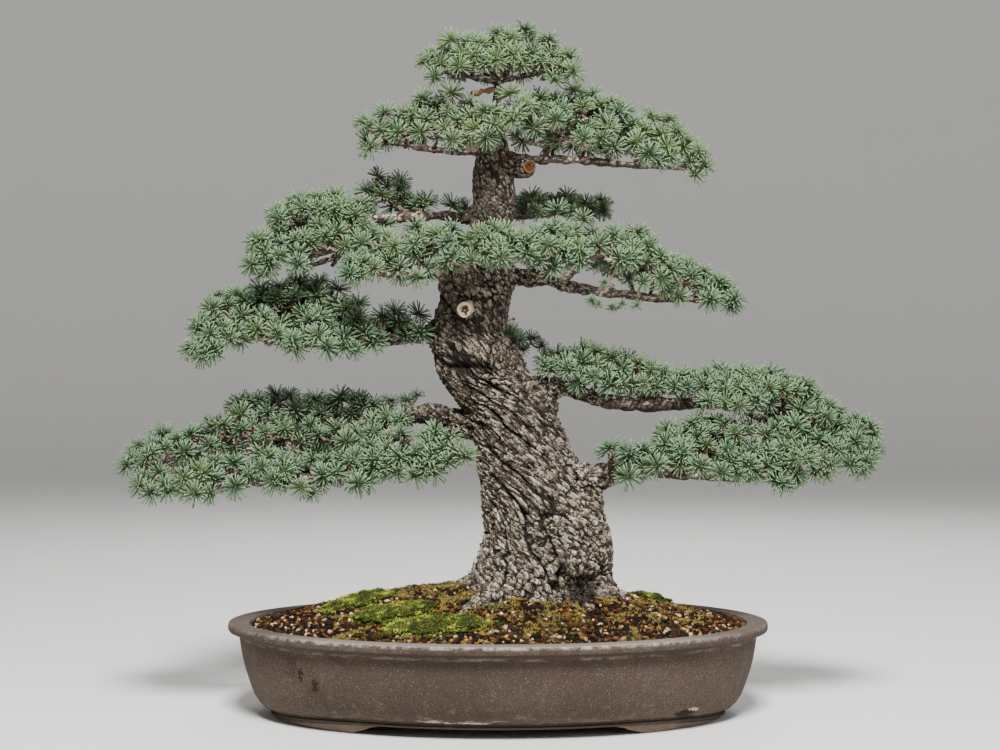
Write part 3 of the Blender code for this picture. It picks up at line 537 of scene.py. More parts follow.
def shoots_on(places, draw, lean, size=1.0):
    """Moss shoots at (place, normal, tone), leaning a little each its own way."""
    copies = []
    for place, normal, tone in places:
        turn = spun((normal + astray(draw, lean)).normalized(), draw)
        copies.append((0, np.array(turn) * size * draw.uniform(0.7, 1.3), place, tone, draw.random()))
    return copies


def drift(at):
    """Noise with a direction. It is the same on every run, which noise.noise_vector is not."""
    apart = Vector((17.3, 41.9, 5.7))
    return Vector((noise.noise(at), noise.noise(at.yzx + apart), noise.noise(at.zxy - apart)))


def hummock(at, number):
    """How high the moss swells at a place, from -0.5 to 1: round heads that crowd each other."""
    distances, _ = noise.voronoi(at / 0.0095 + 0.5 * drift(at / 0.006) + Vector((number, 0, 0)))
    return 1 - 1.5 * distances[0]


moss_green, start, shader = new_finish("moss")
height, tone, lot = start.parts(start.kept("moss"))
colour = start.mix(height.ramp(0.0, 1.0), (0.007, 0.011, 0.001), (0.110, 0.150, 0.014))
# Moss is paler on its heads and darker between them, as painted highlight and painted shade, with a random tone
# besides.
colour = start.mix(tone.ramp(0.52, 0.92) * height.ramp(0.0, 0.5), colour, (0.380, 0.410, 0.050))
colour = start.mix(tone.ramp(0.46, 0.14) * 0.85, colour, (0.022, 0.030, 0.003))
colour = start.mix(lot.ramp(0.88, 1.0) * 0.7, colour, (0.300, 0.200, 0.070))
feed(start, shader["Base Color"], colour)
feed(start, shader["Roughness"], 0.65 + lot * 0.2)
shader["Specular IOR Level"].default_value = 0.2
for number, (x, y, length, width, thickness, pale) in enumerate(MOSS_CUSHIONS, 1):
    let_go()
    bpy.ops.mesh.primitive_ico_sphere_add(subdivisions=5, radius=1)
    dome = bpy.context.object
    centre = Vector((x, y, 0)) * MM
    for vertex in dome.data.vertices:
        way = vertex.co.copy()
        edge = 1 + 0.42 * noise.noise(way * 2.3 + Vector((number, 0, 0))) + 0.30 * noise.noise(way * 5.5)
        local = Vector((way.x * length * edge, way.y * width * edge, way.z * thickness * 0.46)) * MM
        place = centre + local
        swell = 4.2 * MM * hummock(place, number) * max(0, way.z) ** 0.5
        vertex.co = Vector((place.x, place.y, mound(place.x, place.y) + local.z + swell + 0.5 * MM))
    applied(dome, "DECIMATE", ratio=0.3)
    dome.data.update()
    points, faces = pattern_from(dome)
    draw = random.Random(number)
    spots = []
    for corners in faces:
        a, b, c = (Vector(points[corner]) for corner in corners)
        normal = (b - a).cross(c - a)
        if normal.z <= 0:
            continue
        share = normal.length / 2 / MM**2 * SHOOTS_PER_SQUARE_MM
        normal.normalize()
        for _ in range(int(share + draw.random())):
            s, t = sorted((draw.random(), draw.random()))
            place = a * s + b * (t - s) + c * (1 - t)
            # Tone: higher on the heads of the moss for painted highlight, lower between them for painted shade,
            # and patchy at random.
            tone = pale + 0.65 * hummock(place, number) + 0.5 * noise.noise(place / 0.016)
            spots.append((place, normal, tone))
    shapes = [shoot_shape, (points, faces, np.full(len(points), 0.1))]
    copies = shoots_on(spots, draw, 0.4) + [(1, np.eye(3), (0, 0, 0), 0.2, 0.4)]
    cushion = strewn(f"moss_cushion_{number}", shapes, copies, "moss")
    dress(cushion, moss_green)
    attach(cushion, "root")
    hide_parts(f"moss_{number}")

# The film grows in patches between the grains, thickest about the foot of the trunk.
draw = random.Random(11)
spots = []
while len(spots) < FILM_SHOOTS:
    x, y = draw.uniform(-0.16, 0.2), draw.uniform(-0.165, 0.14)
    near = 1.3 - math.hypot((x - 0.02) / 0.15, (y + 0.03) / 0.13)
    patch = noise.noise(Vector((x, y, 0.3)) / 0.020) + 0.5 * noise.noise(Vector((x, y, 0.7)) / 0.007)
    height = soil_top(x, y)
    if near * 0.5 + 1.1 * patch < draw.uniform(0.15, 0.6) or height is None or height < mound(x, y) - 4 * MM:
        continue
    swell = 1.3 * MM * max(0, hummock(Vector((x, y, 0)), 9))
    for _ in range(6):
        place = Vector((x + draw.gauss(0, 1.3) * MM, y + draw.gauss(0, 1.3) * MM, height + 1.0 * MM + swell))
        spots.append((place, Vector((0, 0, 1)), 0.5 + 0.8 * noise.noise(Vector((x, y, 2)) / 0.03)))
film = strewn("moss_film", [shoot_shape], shoots_on(spots, draw, 0.55, 1.15), "moss")
moss_olive, start, shader = new_finish("olive_moss")
height, tone, lot = start.parts(start.kept("moss"))
colour = start.mix(height.ramp(0.0, 1.0), (0.020, 0.017, 0.003), (0.150, 0.125, 0.011))
colour = start.mix(tone.ramp(0.4, 0.9) * 0.7, colour, (0.220, 0.160, 0.014))
colour = start.mix(tone.ramp(0.4, 0.1) * 0.6, colour, (0.075, 0.095, 0.009))
colour = start.mix(lot.ramp(0.5, 1.0) * 0.7, colour, (0.150, 0.070, 0.018))
feed(start, shader["Base Color"], colour)
feed(start, shader["Roughness"], 0.7 + lot * 0.2)
dress(film, moss_olive)
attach(film, "root")


# The trunk leans and bends back, its bark twisted into deep slanting furrows and flaky plates. It
# has grown as one with its root flare, the collars of its limbs and two cut stubs.
# Height, centre x, centre y, half width in x and half width in y, in millimetres.
TRUNK_STATIONS = [
    (84, 43, 0, 66, 58), (100, 43, 0, 80, 70), (114, 43, 0, 82, 72), (133, 43, 0, 73, 66),
    (173, 49, 0, 64, 58), (193, 47, 0, 60, 55), (213, 39, 1, 55, 51), (253, 28, 2, 49, 47),
    (293, 15, 3, 45, 44), (318, 1, 3, 47, 43), (343, -15, 2, 45, 42), (363, -24, 1, 42, 40),
    (383, -30, 0, 36, 36), (413, -23, -1, 36, 34), (433, -20, -2, 37, 33), (456, -12, -1, 28, 28),
    (480, -8, 0, 22, 23), (513, -4, 1, 22, 22), (550, -5, 1, 19, 19), (572, -4, 0, 13, 13),
    (594, -2, 0, 6.5, 6.5), (622, -1, 0, 4.2, 4.2),
]
# Hollows in the front of the trunk: x, z, half width, half height and depth, in millimetres.
TRUNK_HOLLOWS = [
    (-20, 346, 25, 5, 9), (-14, 339, 12, 3.5, 5), (16, 203, 27, 8, 4), (84, 131, 21, 15, 17),
    (62, 146, 7, 4, 9), (-13, 187, 7, 10, 7), (38, 108, 22, 5, 7), (-2, 330, 18, 4, 4),
]
# Places where the bark swirls: x, z and reach in millimetres, and turn in radians.
BARK_SWIRLS = [(-34, 352, 34, 0.7), (14, 203, 30, 0.6), (-30, 300, 26, -0.4), (30, 160, 30, -0.4)]
# Roots that run over the soil and dive into it, as (x, y, z, radius) in millimetres.
ROOTS = [
    [(20, -36, 114, 26), (-6, -62, 110, 17), (-24, -80, 103, 11), (-38, -94, 94, 6)],
    [(5, 8, 122, 26), (-40, 16, 117, 15), (-76, 22, 109, 9), (-104, 28, 96, 6)],
    [(80, -8, 114, 28), (114, -16, 109, 16), (134, -23, 102, 9), (149, -28, 93, 5)],
    [(52, 36, 114, 28), (64, 66, 110, 17), (71, 90, 103, 10), (78, 110, 92, 5)],
    [(66, -30, 112, 24), (80, -50, 104, 13), (88, -62, 92, 6)],
]
# Swollen wood under the thick limbs, and the swellings that carry cut stubs, in the same way.
COLLARS = [
    [(88, -14, 240, 10), (90, -12, 222, 15), (86, -8, 196, 20), (78, -4, 170, 22)],
    [(46, 4, 326, 11), (48, 0, 304, 13), (38, 0, 288, 12)],
    [(82, -14, 238, 13), (101, -20, 233, 12.5), (114, -25, 237, 10)],
]
STUBS = [
    [(6, -4, 549, 14), (24, -12, 546, 12.5), (30, -23, 544, 10.5)],
    [(-28, -14, 404, 12), (-34, -47, 405, 9)],
]
# Each leafy branch has its limbs, the first of which starts inside the trunk and leaves it at its
# second point, and the clumps of needle tufts that they carry. Limb points are (x, y, z, radius)
# and clumps are (x, y, z, half length, half depth, half height), in millimetres.
BRANCHES = {
    "crown": {
        "limbs": [
            [(-1, 0, 600, 4.2), (-1, 0, 622, 4.2), (0, 0, 634, 4), (4, 2, 648, 2.6)],
            [(-1, 0, 630, 3.2), (-28, -6, 636, 2.5), (-56, 0, 643, 1.9)],
            [(-1, 0, 632, 3.2), (30, 4, 637, 2.5), (58, 0, 644, 1.9)],
            [(0, 0, 634, 3), (-6, -26, 642, 2.2)],
            [(0, 0, 634, 3), (8, 28, 643, 2.2)],
        ],
        "clumps": [
            (-57, 0, 650, 12, 24, 13), (-30, -10, 658, 20, 30, 14), (2, -4, 660, 24, 38, 16),
            (32, 4, 661, 20, 36, 15), (57, 0, 651, 11, 26, 13),
        ],
    },
    "upper_left": {
        "limbs": [
            [(-4, 0, 559, 6), (-32, -5, 560, 4), (-68, -4, 564, 3.2), (-112, 0, 572, 2.0)],
            [(-40, -5, 564, 3.5), (-30, -28, 572, 2.8), (-10, -40, 578, 2.2)],
        ],
        "clumps": [
            (-121, 0, 580, 13, 26, 12), (-96, 0, 583, 17, 32, 14), (-68, 0, 593, 18, 36, 17),
            (-38, -6, 590, 18, 40, 15), (-10, -44, 588, 14, 18, 13),
        ],
    },
    "upper_right": {
        "limbs": [
            [(4, 0, 549, 8), (36, 4, 553, 5), (102, 2, 550, 3.7), (152, 0, 546, 3.0), (188, 0, 545, 2.1)],
            [(46, 3, 557, 4.5), (60, -6, 580, 3.6), (84, -4, 592, 3), (104, 0, 588, 2.2)],
            [(58, -5, 578, 3), (34, -24, 590, 2.6), (20, -34, 598, 2.1)],
        ],
        "clumps": [
            (17, -38, 604, 13, 18, 12), (47, -6, 601, 19, 36, 16), (82, 2, 603, 20, 38, 16),
            (110, 0, 594, 18, 36, 16), (77, -8, 578, 25, 40, 12), (142, 0, 573, 20, 34, 15),
            (167, 0, 577, 13, 28, 12), (184, 0, 561, 11, 24, 12), (196, 0, 549, 5, 16, 6),
        ],
    },
    "high_left": {
        "limbs": [
            [
                (-8, 6, 496, 8), (-38, 26, 496, 6), (-78, 34, 496, 4.6), (-120, 22, 494, 4.4),
                (-175, 2, 490, 4.5), (-216, -4, 482, 2.4),
            ],
            [(-128, 20, 495, 4.5), (-150, -12, 470, 4), (-190, -22, 457, 3.2), (-228, -20, 454, 2.2)],
            [(-90, 32, 497, 3.6), (-104, 48, 508, 3), (-112, 54, 516, 2.2)],
            [(-138, 2, 482, 3.4), (-160, -6, 458, 2.8), (-186, -8, 447, 2)],
            [(-150, -3, 469, 2.6), (-166, 6, 446, 1.9)],
        ],
        "clumps": [
            (-110, 54, 523, 14, 20, 9), (-92, 50, 506, 14, 16, 6), (-163, 6, 506, 18, 32, 10),
            (-190, 4, 505, 16, 32, 10), (-212, 2, 495, 10, 26, 7), (-146, -18, 491, 14, 28, 9),
            (-223, -16, 468, 15, 32, 13), (-198, -28, 463, 18, 30, 13), (-236, -16, 452, 9, 26, 7),
            (-158, -28, 473, 20, 28, 11), (-126, -30, 475, 16, 26, 10),
        ],
    },
    "front": {
        "limbs": [
            [
                (-16, -8, 436, 10), (-34, -44, 438, 8), (-66, -64, 440, 6), (-104, -70, 440, 4),
                (-134, -70, 440, 2.3),
            ],
            [(-44, -50, 438.5, 5), (-24, -72, 450, 4), (-12, -76, 458, 2.3)],
            [(-66, -64, 440, 4), (-72, -64, 458, 2.4)],
        ],
        "clumps": [
            (-143, -70, 447, 10, 22, 9), (-118, -70, 447, 18, 26, 9), (-90, -72, 445, 18, 24, 10),
            (-80, -62, 472, 15, 24, 9), (-48, -76, 470, 18, 24, 11), (-43, -90, 453, 15, 14, 6),
            (-16, -78, 468, 16, 22, 12),
        ],
    },
    "middle_right": {
        "limbs": [
            [
                (-6, -6, 436, 10), (24, -14, 436, 8.5), (72, -16, 426, 6.5), (102, -12, 421, 5.5),
                (142, -8, 416, 4.5), (196, -5, 413, 3.5), (226, -3, 411, 2.2),
            ],
            [(50, -15, 431, 4.5), (48, -38, 448, 3.8), (22, -60, 458, 2.3)],
            [(62, -16, 428, 4.5), (86, -26, 450, 3.6), (128, -22, 453, 2.3)],
        ],
        "clumps": [
            (20, -70, 465, 14, 20, 11), (45, -50, 470, 18, 32, 13), (74, -34, 468, 20, 38, 14),
            (102, -22, 468, 22, 40, 13), (134, -18, 465, 20, 38, 14), (157, -16, 451, 16, 34, 12),
            (187, -8, 435, 14, 28, 10), (207, -5, 426, 10, 24, 9), (229, -3, 416, 6, 16, 5),
        ],
    },
    "back_right": {
        "limbs": [
            [(-4, 6, 494, 7), (18, 34, 497, 5.5), (52, 58, 499, 4), (92, 70, 500, 2.3)],
        ],
        "clumps": [
            (30, 66, 508, 14, 26, 8), (62, 76, 508, 18, 32, 9), (94, 74, 507, 12, 26, 8),
        ],
    },
    "middle_left": {
        "limbs": [
            [
                (-30, 0, 374, 12), (-74, 0, 378, 9), (-125, -2, 373, 7), (-165, -5, 370, 6),
                (-205, -6, 370, 5), (-245, -6, 378, 3.8), (-288, 0, 388, 2.3),
            ],
            [(-118, -2, 374, 4.5), (-150, 18, 390, 4), (-190, 24, 397, 3.2), (-236, 14, 399, 2.2)],
        ],
        "clumps": [
            (-294, 0, 394, 8, 24, 10), (-263, 12, 408, 20, 34, 10), (-268, -20, 380, 20, 28, 9),
            (-226, 14, 410, 22, 34, 10), (-223, -25, 378, 22, 30, 8), (-186, 30, 413, 18, 30, 10),
            (-183, -20, 385, 20, 34, 12), (-150, 4, 395, 18, 36, 12), (-148, -25, 377, 16, 28, 8),
            (-113, 2, 386, 18, 32, 11), (-96, 6, 382, 8, 24, 8),
        ],
    },
    "back": {
        "limbs": [
            [(-24, 20, 366, 9), (-22, 56, 368, 7), (-14, 92, 369, 5), (-6, 124, 372, 2.4)],
        ],
        "clumps": [
            (-26, 100, 379, 20, 26, 9), (4, 104, 377, 20, 28, 8), (-8, 132, 380, 24, 22, 8),
        ],
    },
    "low_right": {
        "limbs": [
            [
                (6, 8, 323, 13), (62, 7, 325, 9), (92, 5, 317, 7.5), (112, 4, 310, 7), (142, 4, 308, 7),
                (207, 2, 310, 6), (250, 0, 308, 5), (290, -2, 300, 4), (325, -6, 280, 3.2),
                (356, -10, 264, 2.2),
            ],
            [(236, 0, 308.5, 4), (266, -20, 292, 3.6), (300, -28, 270, 2.4)],
            [(216, 1, 309.6, 4), (232, -28, 306, 2.4)],
        ],
        "clumps": [
            (58, 18, 351, 12, 24, 10), (87, 12, 351, 18, 34, 12), (117, 10, 346, 20, 36, 12),
            (147, 10, 340, 18, 30, 8), (182, 10, 330, 20, 30, 8), (220, 6, 329, 20, 38, 12),
            (257, 2, 329, 22, 42, 11), (292, 0, 321, 20, 40, 12), (314, -5, 303, 16, 38, 12),
            (347, -6, 275, 18, 36, 13), (366, -6, 271, 7, 24, 10), (322, -26, 268, 22, 34, 12),
            (357, -20, 254, 8, 22, 6), (237, -42, 313, 20, 20, 9),
        ],
    },
    "low_front_right": {
        "limbs": [
            [
                (44, -8, 243, 15), (86, -16, 241, 11), (104, -22, 243, 8.5), (150, -44, 243, 6.5),
                (190, -52, 238, 5), (240, -54, 235, 4), (286, -52, 236, 2.3),
            ],
            [(116, -28, 243, 5), (112, -42, 252, 2.6)],
            [(140, -39, 243, 4.5), (180, -44, 258, 3.6), (216, -50, 262, 2.3)],
        ],
        "clumps": [
            (115, -46, 262, 8, 16, 6), (134, -50, 243, 11, 20, 8), (164, -50, 253, 18, 30, 12),
            (182, -42, 273, 17, 28, 10), (202, -56, 263, 18, 32, 16), (227, -56, 272, 14, 26, 14),
            (242, -56, 252, 20, 32, 12), (277, -52, 253, 19, 30, 14), (287, -56, 238, 13, 20, 6),
        ],
    },
    "low_left": {
        "limbs": [
            [
                (-2, 0, 284, 17), (-40, 2, 289, 14), (-62, 5, 296, 11), (-86, 8, 295, 9.5),
                (-120, 14, 288, 7.5), (-165, 18, 281, 6), (-215, 16, 278, 4.5), (-262, 10, 276, 2.4),
            ],
            [
                (-100, 10, 294, 6.5), (-116, -24, 268, 6), (-152, -50, 242, 5.5), (-196, -54, 232, 5),
                (-250, -48, 232, 4.5), (-300, -36, 238, 3.6), (-346, -20, 244, 2.3),
            ],
            [(-106, -8, 281, 4.5), (-80, -34, 262, 3.8), (-52, -50, 256, 2.4)],
            [(-262, -45, 234, 3.6), (-280, -16, 252, 3), (-306, -4, 262, 2.2)],
        ],
        "clumps": [
            (-248, 26, 295, 20, 34, 14), (-213, 30, 301, 22, 36, 14), (-178, 32, 301, 22, 36, 14),
            (-148, 36, 301, 18, 30, 14), (-110, 26, 299, 20, 26, 9), (-263, 6, 279, 24, 32, 11),
            (-213, -8, 281, 26, 24, 9), (-158, -14, 276, 22, 24, 11), (-356, -14, 256, 12, 30, 12),
            (-328, -8, 261, 20, 38, 14), (-293, 0, 273, 22, 38, 12), (-343, -40, 231, 14, 22, 8),
            (-303, -50, 233, 20, 28, 14), (-266, -52, 238, 20, 28, 12), (-228, -56, 243, 22, 28, 15),
            (-193, -60, 238, 22, 28, 14), (-153, -60, 240, 22, 28, 13), (-123, -52, 250, 18, 28, 18),
            (-98, -46, 260, 20, 30, 19), (-68, -52, 257, 15, 26, 17), (-46, -62, 258, 10, 16, 10),
        ],
    },
}
# The fineness of the trunk's first mesh and the height where it ends, in millimetres, and how many
# triangles it keeps.
TRUNK_VOXEL = 1.2
TRUNK_TOP = 622
TRUNK_TRIANGLES = 190000


def along(stations, value):
    """Reads a table of stations, sorted by their first number, as smooth curves."""
    index = 0
    while index < len(stations) - 2 and value > stations[index + 1][0]:
        index += 1
    before, start = stations[max(index - 1, 0)], stations[index]
    end, after = stations[index + 1], stations[min(index + 2, len(stations) - 1)]
    span = end[0] - start[0]
    t = (value - start[0]) / span
    result = []
    for column in range(1, len(start)):
        leaving = (end[column] - before[column]) / (end[0] - before[0]) * span
        arriving = (after[column] - start[column]) / (after[0] - start[0]) * span
        result.append(
            (2 * t**3 - 3 * t**2 + 1) * start[column] + (t**3 - 2 * t**2 + t) * leaving
            + (3 * t**2 - 2 * t**3) * end[column] + (t**3 - t**2) * arriving
        )
    return result


def in_metres(path):
    """A path of wood in its place in depth, from millimetres."""
    return [(*lined_up(x, y, z), radius * MM) for x, y, z, radius in path]


def rounded(path, step):
    """The same path with its corners rounded, as points a step apart."""
    points = np.array(path)
    lengths = np.r_[0, np.cumsum(np.linalg.norm(np.diff(points[:, :3], axis=0), axis=1))]
    stations = [(length, *point) for length, point in zip(lengths, points)]
    count = max(3, int(lengths[-1] / step) + 1)
    return [along(stations, value) for value in np.linspace(0, lengths[-1], count)]


def tubes(name, paths, resolution):
    """Round wood along paths of (x, y, z, radius), all in one mesh."""
    curve = bpy.data.curves.new(name, "CURVE")
    curve.dimensions = "3D"
    curve.bevel_depth = 1.0
    curve.bevel_resolution = resolution
    curve.use_fill_caps = True
    for path in paths:
        spline = curve.splines.new("POLY")
        spline.points.add(len(path) - 1)
        for target, (x, y, z, radius) in zip(spline.points, path):
            target.co = (x, y, z, 1.0)
            target.radius = radius
    piece = bpy.data.objects.new(name, curve)
    bpy.context.scene.collection.objects.link(piece)
    pick(piece)
    bpy.ops.object.convert(target="MESH")
    applied(piece, "WELD", merge_threshold=1e-6)
    return piece


heights = np.arange(60, 700)
trunk_line = np.array([along(TRUNK_STATIONS, min(max(h, 84), TRUNK_TOP)) for h in heights])
# The bark's slant from upright along the height, in degrees, and the turn that it adds up to.
slant = np.interp(heights, [84, 150, 220, 320, 390, 430, 520, 622], [12, 26, 42, 42, 30, 34, 14, 10])
bark_turn = np.cumsum(np.tan(np.radians(slant)) / np.maximum(trunk_line[:, 2], 8))


def bark_place(place):
    """Where a point of the trunk lies in straightened bark, in millimetres, and the trunk's half width."""
    x, y, z = place / MM
    index = min(max(z - 60, 0), 638.9)
    low = int(index)
    share = index - low
    centre_x, centre_y, half_x, half_y = trunk_line[low] * (1 - share) + trunk_line[low + 1] * share
    turn = bark_turn[low] * (1 - share) + bark_turn[low + 1] * share
    if y < centre_y:
        for swirl_x, swirl_z, reach, amount in BARK_SWIRLS:
            dx, dz = x - swirl_x, z - swirl_z
            twist = amount * math.exp(-(dx * dx + dz * dz) / reach**2)
            c, s = math.cos(twist), math.sin(twist)
            x, z = swirl_x + c * dx - s * dz, swirl_z + s * dx + c * dz
    dx, dy = x - centre_x, y - centre_y
    c, s = math.cos(turn), math.sin(turn)
    return Vector((c * dx - s * dy, s * dx + c * dy, z)), (half_x + half_y) / 2


def bark_relief(at, size):
    """How far the bark stands out at a place in straightened bark, in millimetres, how deep in a crack
    it is, and its plate's own lot. Size is 1 where the trunk is thick and less where it is thin."""
    at = at + 2.6 * drift(at / 13) + 1.1 * drift(at / 4.5)
    long = noise.noise(Vector((at.x / 23, at.y / 23, at.z / 95)))
    furrow = math.exp(-((long / 0.055 / size**1.5) ** 2))
    fine = noise.noise(Vector((at.x / 12 + 9, at.y / 12, at.z / 60)))
    cleft = math.exp(-((fine / 0.045 / size**1.5) ** 2))
    plate = Vector((at.x / 6.4, at.y / 6.4, at.z / 10))
    distances, points = noise.voronoi(plate)
    edge = min(1.0, max(0.0, (distances[1] - distances[0] - 0.02) / 0.14))
    own = 0.5 + 0.5 * noise.cell(points[0] * 9.7)
    lean = noise.cell_vector(points[0] * 5.3)
    tilt = (plate - points[0]).dot(lean) * 1.5 + (plate.z - points[0].z) * 0.6
    chip = noise.voronoi(Vector((at.x / 3.2, at.y / 3.2, at.z / 6)))[0]
    chipped = min(1.0, (chip[1] - chip[0]) / 0.3)
    swell = noise.noise(at / 30) * 2.6 + noise.noise(at / 11) * 1.1
    stand = edge * (1.2 + 1.9 * own * own + tilt) + 0.8 * chipped * edge - 4.2 * furrow - 2.2 * cleft + swell
    return stand * size, min(1.0, (1 - edge) + 0.9 * furrow + 0.5 * cleft), own


trunk_rings = []
for height in np.arange(98, TRUNK_TOP, 7):
    centre_x, centre_y, half_x, half_y = along(TRUNK_STATIONS, height)
    trunk_rings.append((half_x * MM, half_y * MM, centre_x * MM, centre_y * MM, height * MM))
trunk = drawn_up("cedar_trunk", 48, trunk_rings)
# How many points of each branch's first limb are as old as the trunk and share its flaky bark.
OLD_POINTS = {
    "low_left": 5, "low_right": 4, "low_front_right": 3, "middle_right": 4, "middle_left": 4, "high_left": 3,
    "front": 3,
}


def knobbly(path):
    """Makes a smooth path of wood sway a little and swell into knots."""
    gnarled = []
    for x, y, z, radius in path:
        place = Vector((x, y, z))
        sway = drift(place / 0.014) * 0.22 * radius + drift(place / 0.04) * 0.4 * radius
        gnarled.append((*(place + sway), radius * (1.02 + 0.42 * noise.noise(place / 0.008))))
    return gnarled


def old_end(name, path):
    """The number of points of the smooth limb that belong to the trunk."""
    last = Vector(in_metres(BRANCHES[name]["limbs"][0])[OLD_POINTS.get(name, 2) - 1][:3])
    return min(range(len(path)), key=lambda index: (Vector(path[index][:3]) - last).length)


grown = [rounded(in_metres(path), 6 * MM) for path in ROOTS]
grown += [in_metres(path) for path in STUBS + COLLARS]
for name, branch in BRANCHES.items():
    limb = rounded(in_metres(branch["limbs"][0]), 3 * MM)
    if name != "crown":
        grown.append(knobbly(limb[:old_end(name, limb)]))
collars = tubes("collars", grown, 4)
pick(trunk, collars)
bpy.ops.object.join()
applied(trunk, "REMESH", mode="VOXEL", voxel_size=TRUNK_VOXEL * MM)
applied(trunk, "SMOOTH", factor=0.5, iterations=6)
cracks = np.zeros((len(trunk.data.vertices), 3), np.float32)
flow = np.zeros((len(trunk.data.vertices), 3), np.float32)
moved = np.zeros((len(trunk.data.vertices), 3), np.float32)
for vertex in trunk.data.vertices:
    at, thick = bark_place(vertex.co)
    beyond = max(0.0, math.hypot(at.x, at.y) - thick * 1.15)
    size = min(1.0, max(0.35, thick / 42)) / (1 + beyond / 30)
    stand, crack, own = bark_relief(at, size)
    x, z = vertex.co.x / MM, vertex.co.z / MM
    sunk = 0.0
    if vertex.normal.y < 0:
        for hollow_x, hollow_z, half_width, half_height, depth in TRUNK_HOLLOWS:
            off = ((x - hollow_x) / half_width) ** 2 + ((z - hollow_z) / half_height) ** 2
            sunk += depth * math.exp(-off - 0.6 * stand / 3)
    moved[vertex.index] = vertex.co + vertex.normal * (stand - 1.2 - sunk) * MM
    cracks[vertex.index] = (crack, own, min(1.0, sunk / 8))
    flow[vertex.index] = at
trunk.data.vertices.foreach_set("co", moved.ravel())
trunk.data.update()
for name, values in (("crack", cracks), ("flow", flow)):
    trunk.data.attributes.new(name, "FLOAT_VECTOR", "POINT").data.foreach_set("vector", values.ravel())
trunk.data.calc_loop_triangles()
applied(trunk, "DECIMATE", ratio=TRUNK_TRIANGLES / len(trunk.data.loop_triangles))
smooth(trunk, 60)

bark, start, shader = new_finish("cedar_bark")
crack, own, hollow = start.parts(start.kept("crack"))
# The flakes are cells in straightened bark, with ragged edges, and smaller high up the trunk.
wobble = start.noise(start.placed(), 480.0, 5.0, 0.5, 1)
wander = start.vectors("MULTIPLY_ADD", wobble, (4.4, 4.4, 6.0), start.kept("flow"))
straight = start.vectors("MULTIPLY_ADD", wander, (0.235, 0.235, 0.118), (0, 0, -50.7))
across, _, high = start.parts(start.placed())
finer = 1 + high.ramp(0.36, 0.50) * 0.7
straight = start.add("VectorMath", {"operation": "SCALE"}, {0: straight, "Scale": finer})
flake = start.cells(straight, feature="DISTANCE_TO_EDGE").ramp(0.0, 0.062)
scale = start.add("SeparateColor", None, {"Color": start.cells(straight, output=1)})
middle = start.cells(straight, output=2)
aside, _, upward = start.parts(start.vectors("SUBTRACT", straight, middle))
facet = upward * 1.1 + aside * 0.5
fibre = start.noise(start.vectors("MULTIPLY", start.kept("flow"), (1.1, 1.1, 0.2)), 1, 4, 0.65)
cloud = start.noise(start.placed(), 26, 4, 0.6)
# Each flake has its own tone, a painted highlight along its top edge and painted shade at its foot.
colour = start.mix(cloud.ramp(0.3, 0.7), (0.345, 0.266, 0.185), (0.520, 0.425, 0.315))
colour = start.mix(own * 0.5, colour, (0.70, 0.60, 0.47))
colour = start.mix(scale.ramp(0.36, 0.08) * 0.75, colour, (0.060, 0.040, 0.025))
colour = start.mix(scale.ramp(0.60, 0.88) * 0.65, colour, (0.84, 0.75, 0.61))
colour = start.mix(facet.ramp(0.08, 0.42) * 0.4, colour, (0.86, 0.78, 0.65))
colour = start.mix(facet.ramp(-0.03, -0.32) * 0.85, colour, (0.042, 0.027, 0.017))
colour = start.mix(fibre.ramp(0.48, 0.66) * 0.5, colour, (0.120, 0.083, 0.055))
# Painted shade in the narrow gaps between the flakes.
colour = start.mix((1 - flake) * 0.95, colour, (0.013, 0.008, 0.005))
# The thin top is redder. Painted shade darkens the trunk from 0.17 m up, under the pads, and more on its left
# side higher up, and towards the soil it is painted warmer and darker.
ruddy = high.ramp(0.44, 0.50) * start.noise(start.placed(), 45, 3, 0.6).ramp(0.46, 0.62)
colour = start.mix(ruddy * 0.5, colour, (0.20, 0.098, 0.055))
shade = high.ramp(0.17, 0.32) * 0.44 + across.ramp(-0.005, -0.045) * high.ramp(0.26, 0.31) * 0.22
colour = start.mix(high.ramp(0.150, 0.100) * 0.35, colour, (0.270, 0.185, 0.115))
colour = start.mix(shade, colour, (0.045, 0.029, 0.018))
# Painted shade deep in the cracks and furrows, and in the hollows.
colour = start.mix(crack.ramp(0.26, 0.76) * 0.95, colour, (0.010, 0.006, 0.004))
colour = start.mix(hollow.ramp(0.25, 0.95) * 0.85, colour, (0.016, 0.011, 0.008))
feed(start, shader["Base Color"], colour)
feed(start, shader["Roughness"], 0.80 + fibre * 0.15)
shader["Specular IOR Level"].default_value = 0.3
feed(start, shader["Normal"], start.bump(flake * 0.9 + scale * 0.8 + facet * 1.4 + fibre * 0.4, 0.0031))
dress(trunk, bark)
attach(trunk, "root")
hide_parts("trunk")

# Old branches end in short stumps of bare wood, sawn or broken, with rings on the face and a rim of
# bark: grey where they have weathered, and red where they are fresh.
# Place, the way that the end faces, radius and length in millimetres, and how red the end is.
CUTS = [
    ((32, -27, 546), (0.25, -1, 0.1), 5.9, 12, 1.0),
    ((-34, -57, 403), (-0.30, -1, -0.14), 6.9, 14, 0.0),
    ((16, -18, 393), (0.7, -1, 0.25), 2.4, 8, 0.0),
    ((-27, -14, 618), (-1, -0.45, -0.3), 2.7, 25, 0.8),
    ((-27, -12, 566), (-0.5, -1, -0.2), 5.4, 12, 0.55),
    ((-79, 22, 497), (0.1, -1, 0.3), 4.6, 12, 0.2),
]
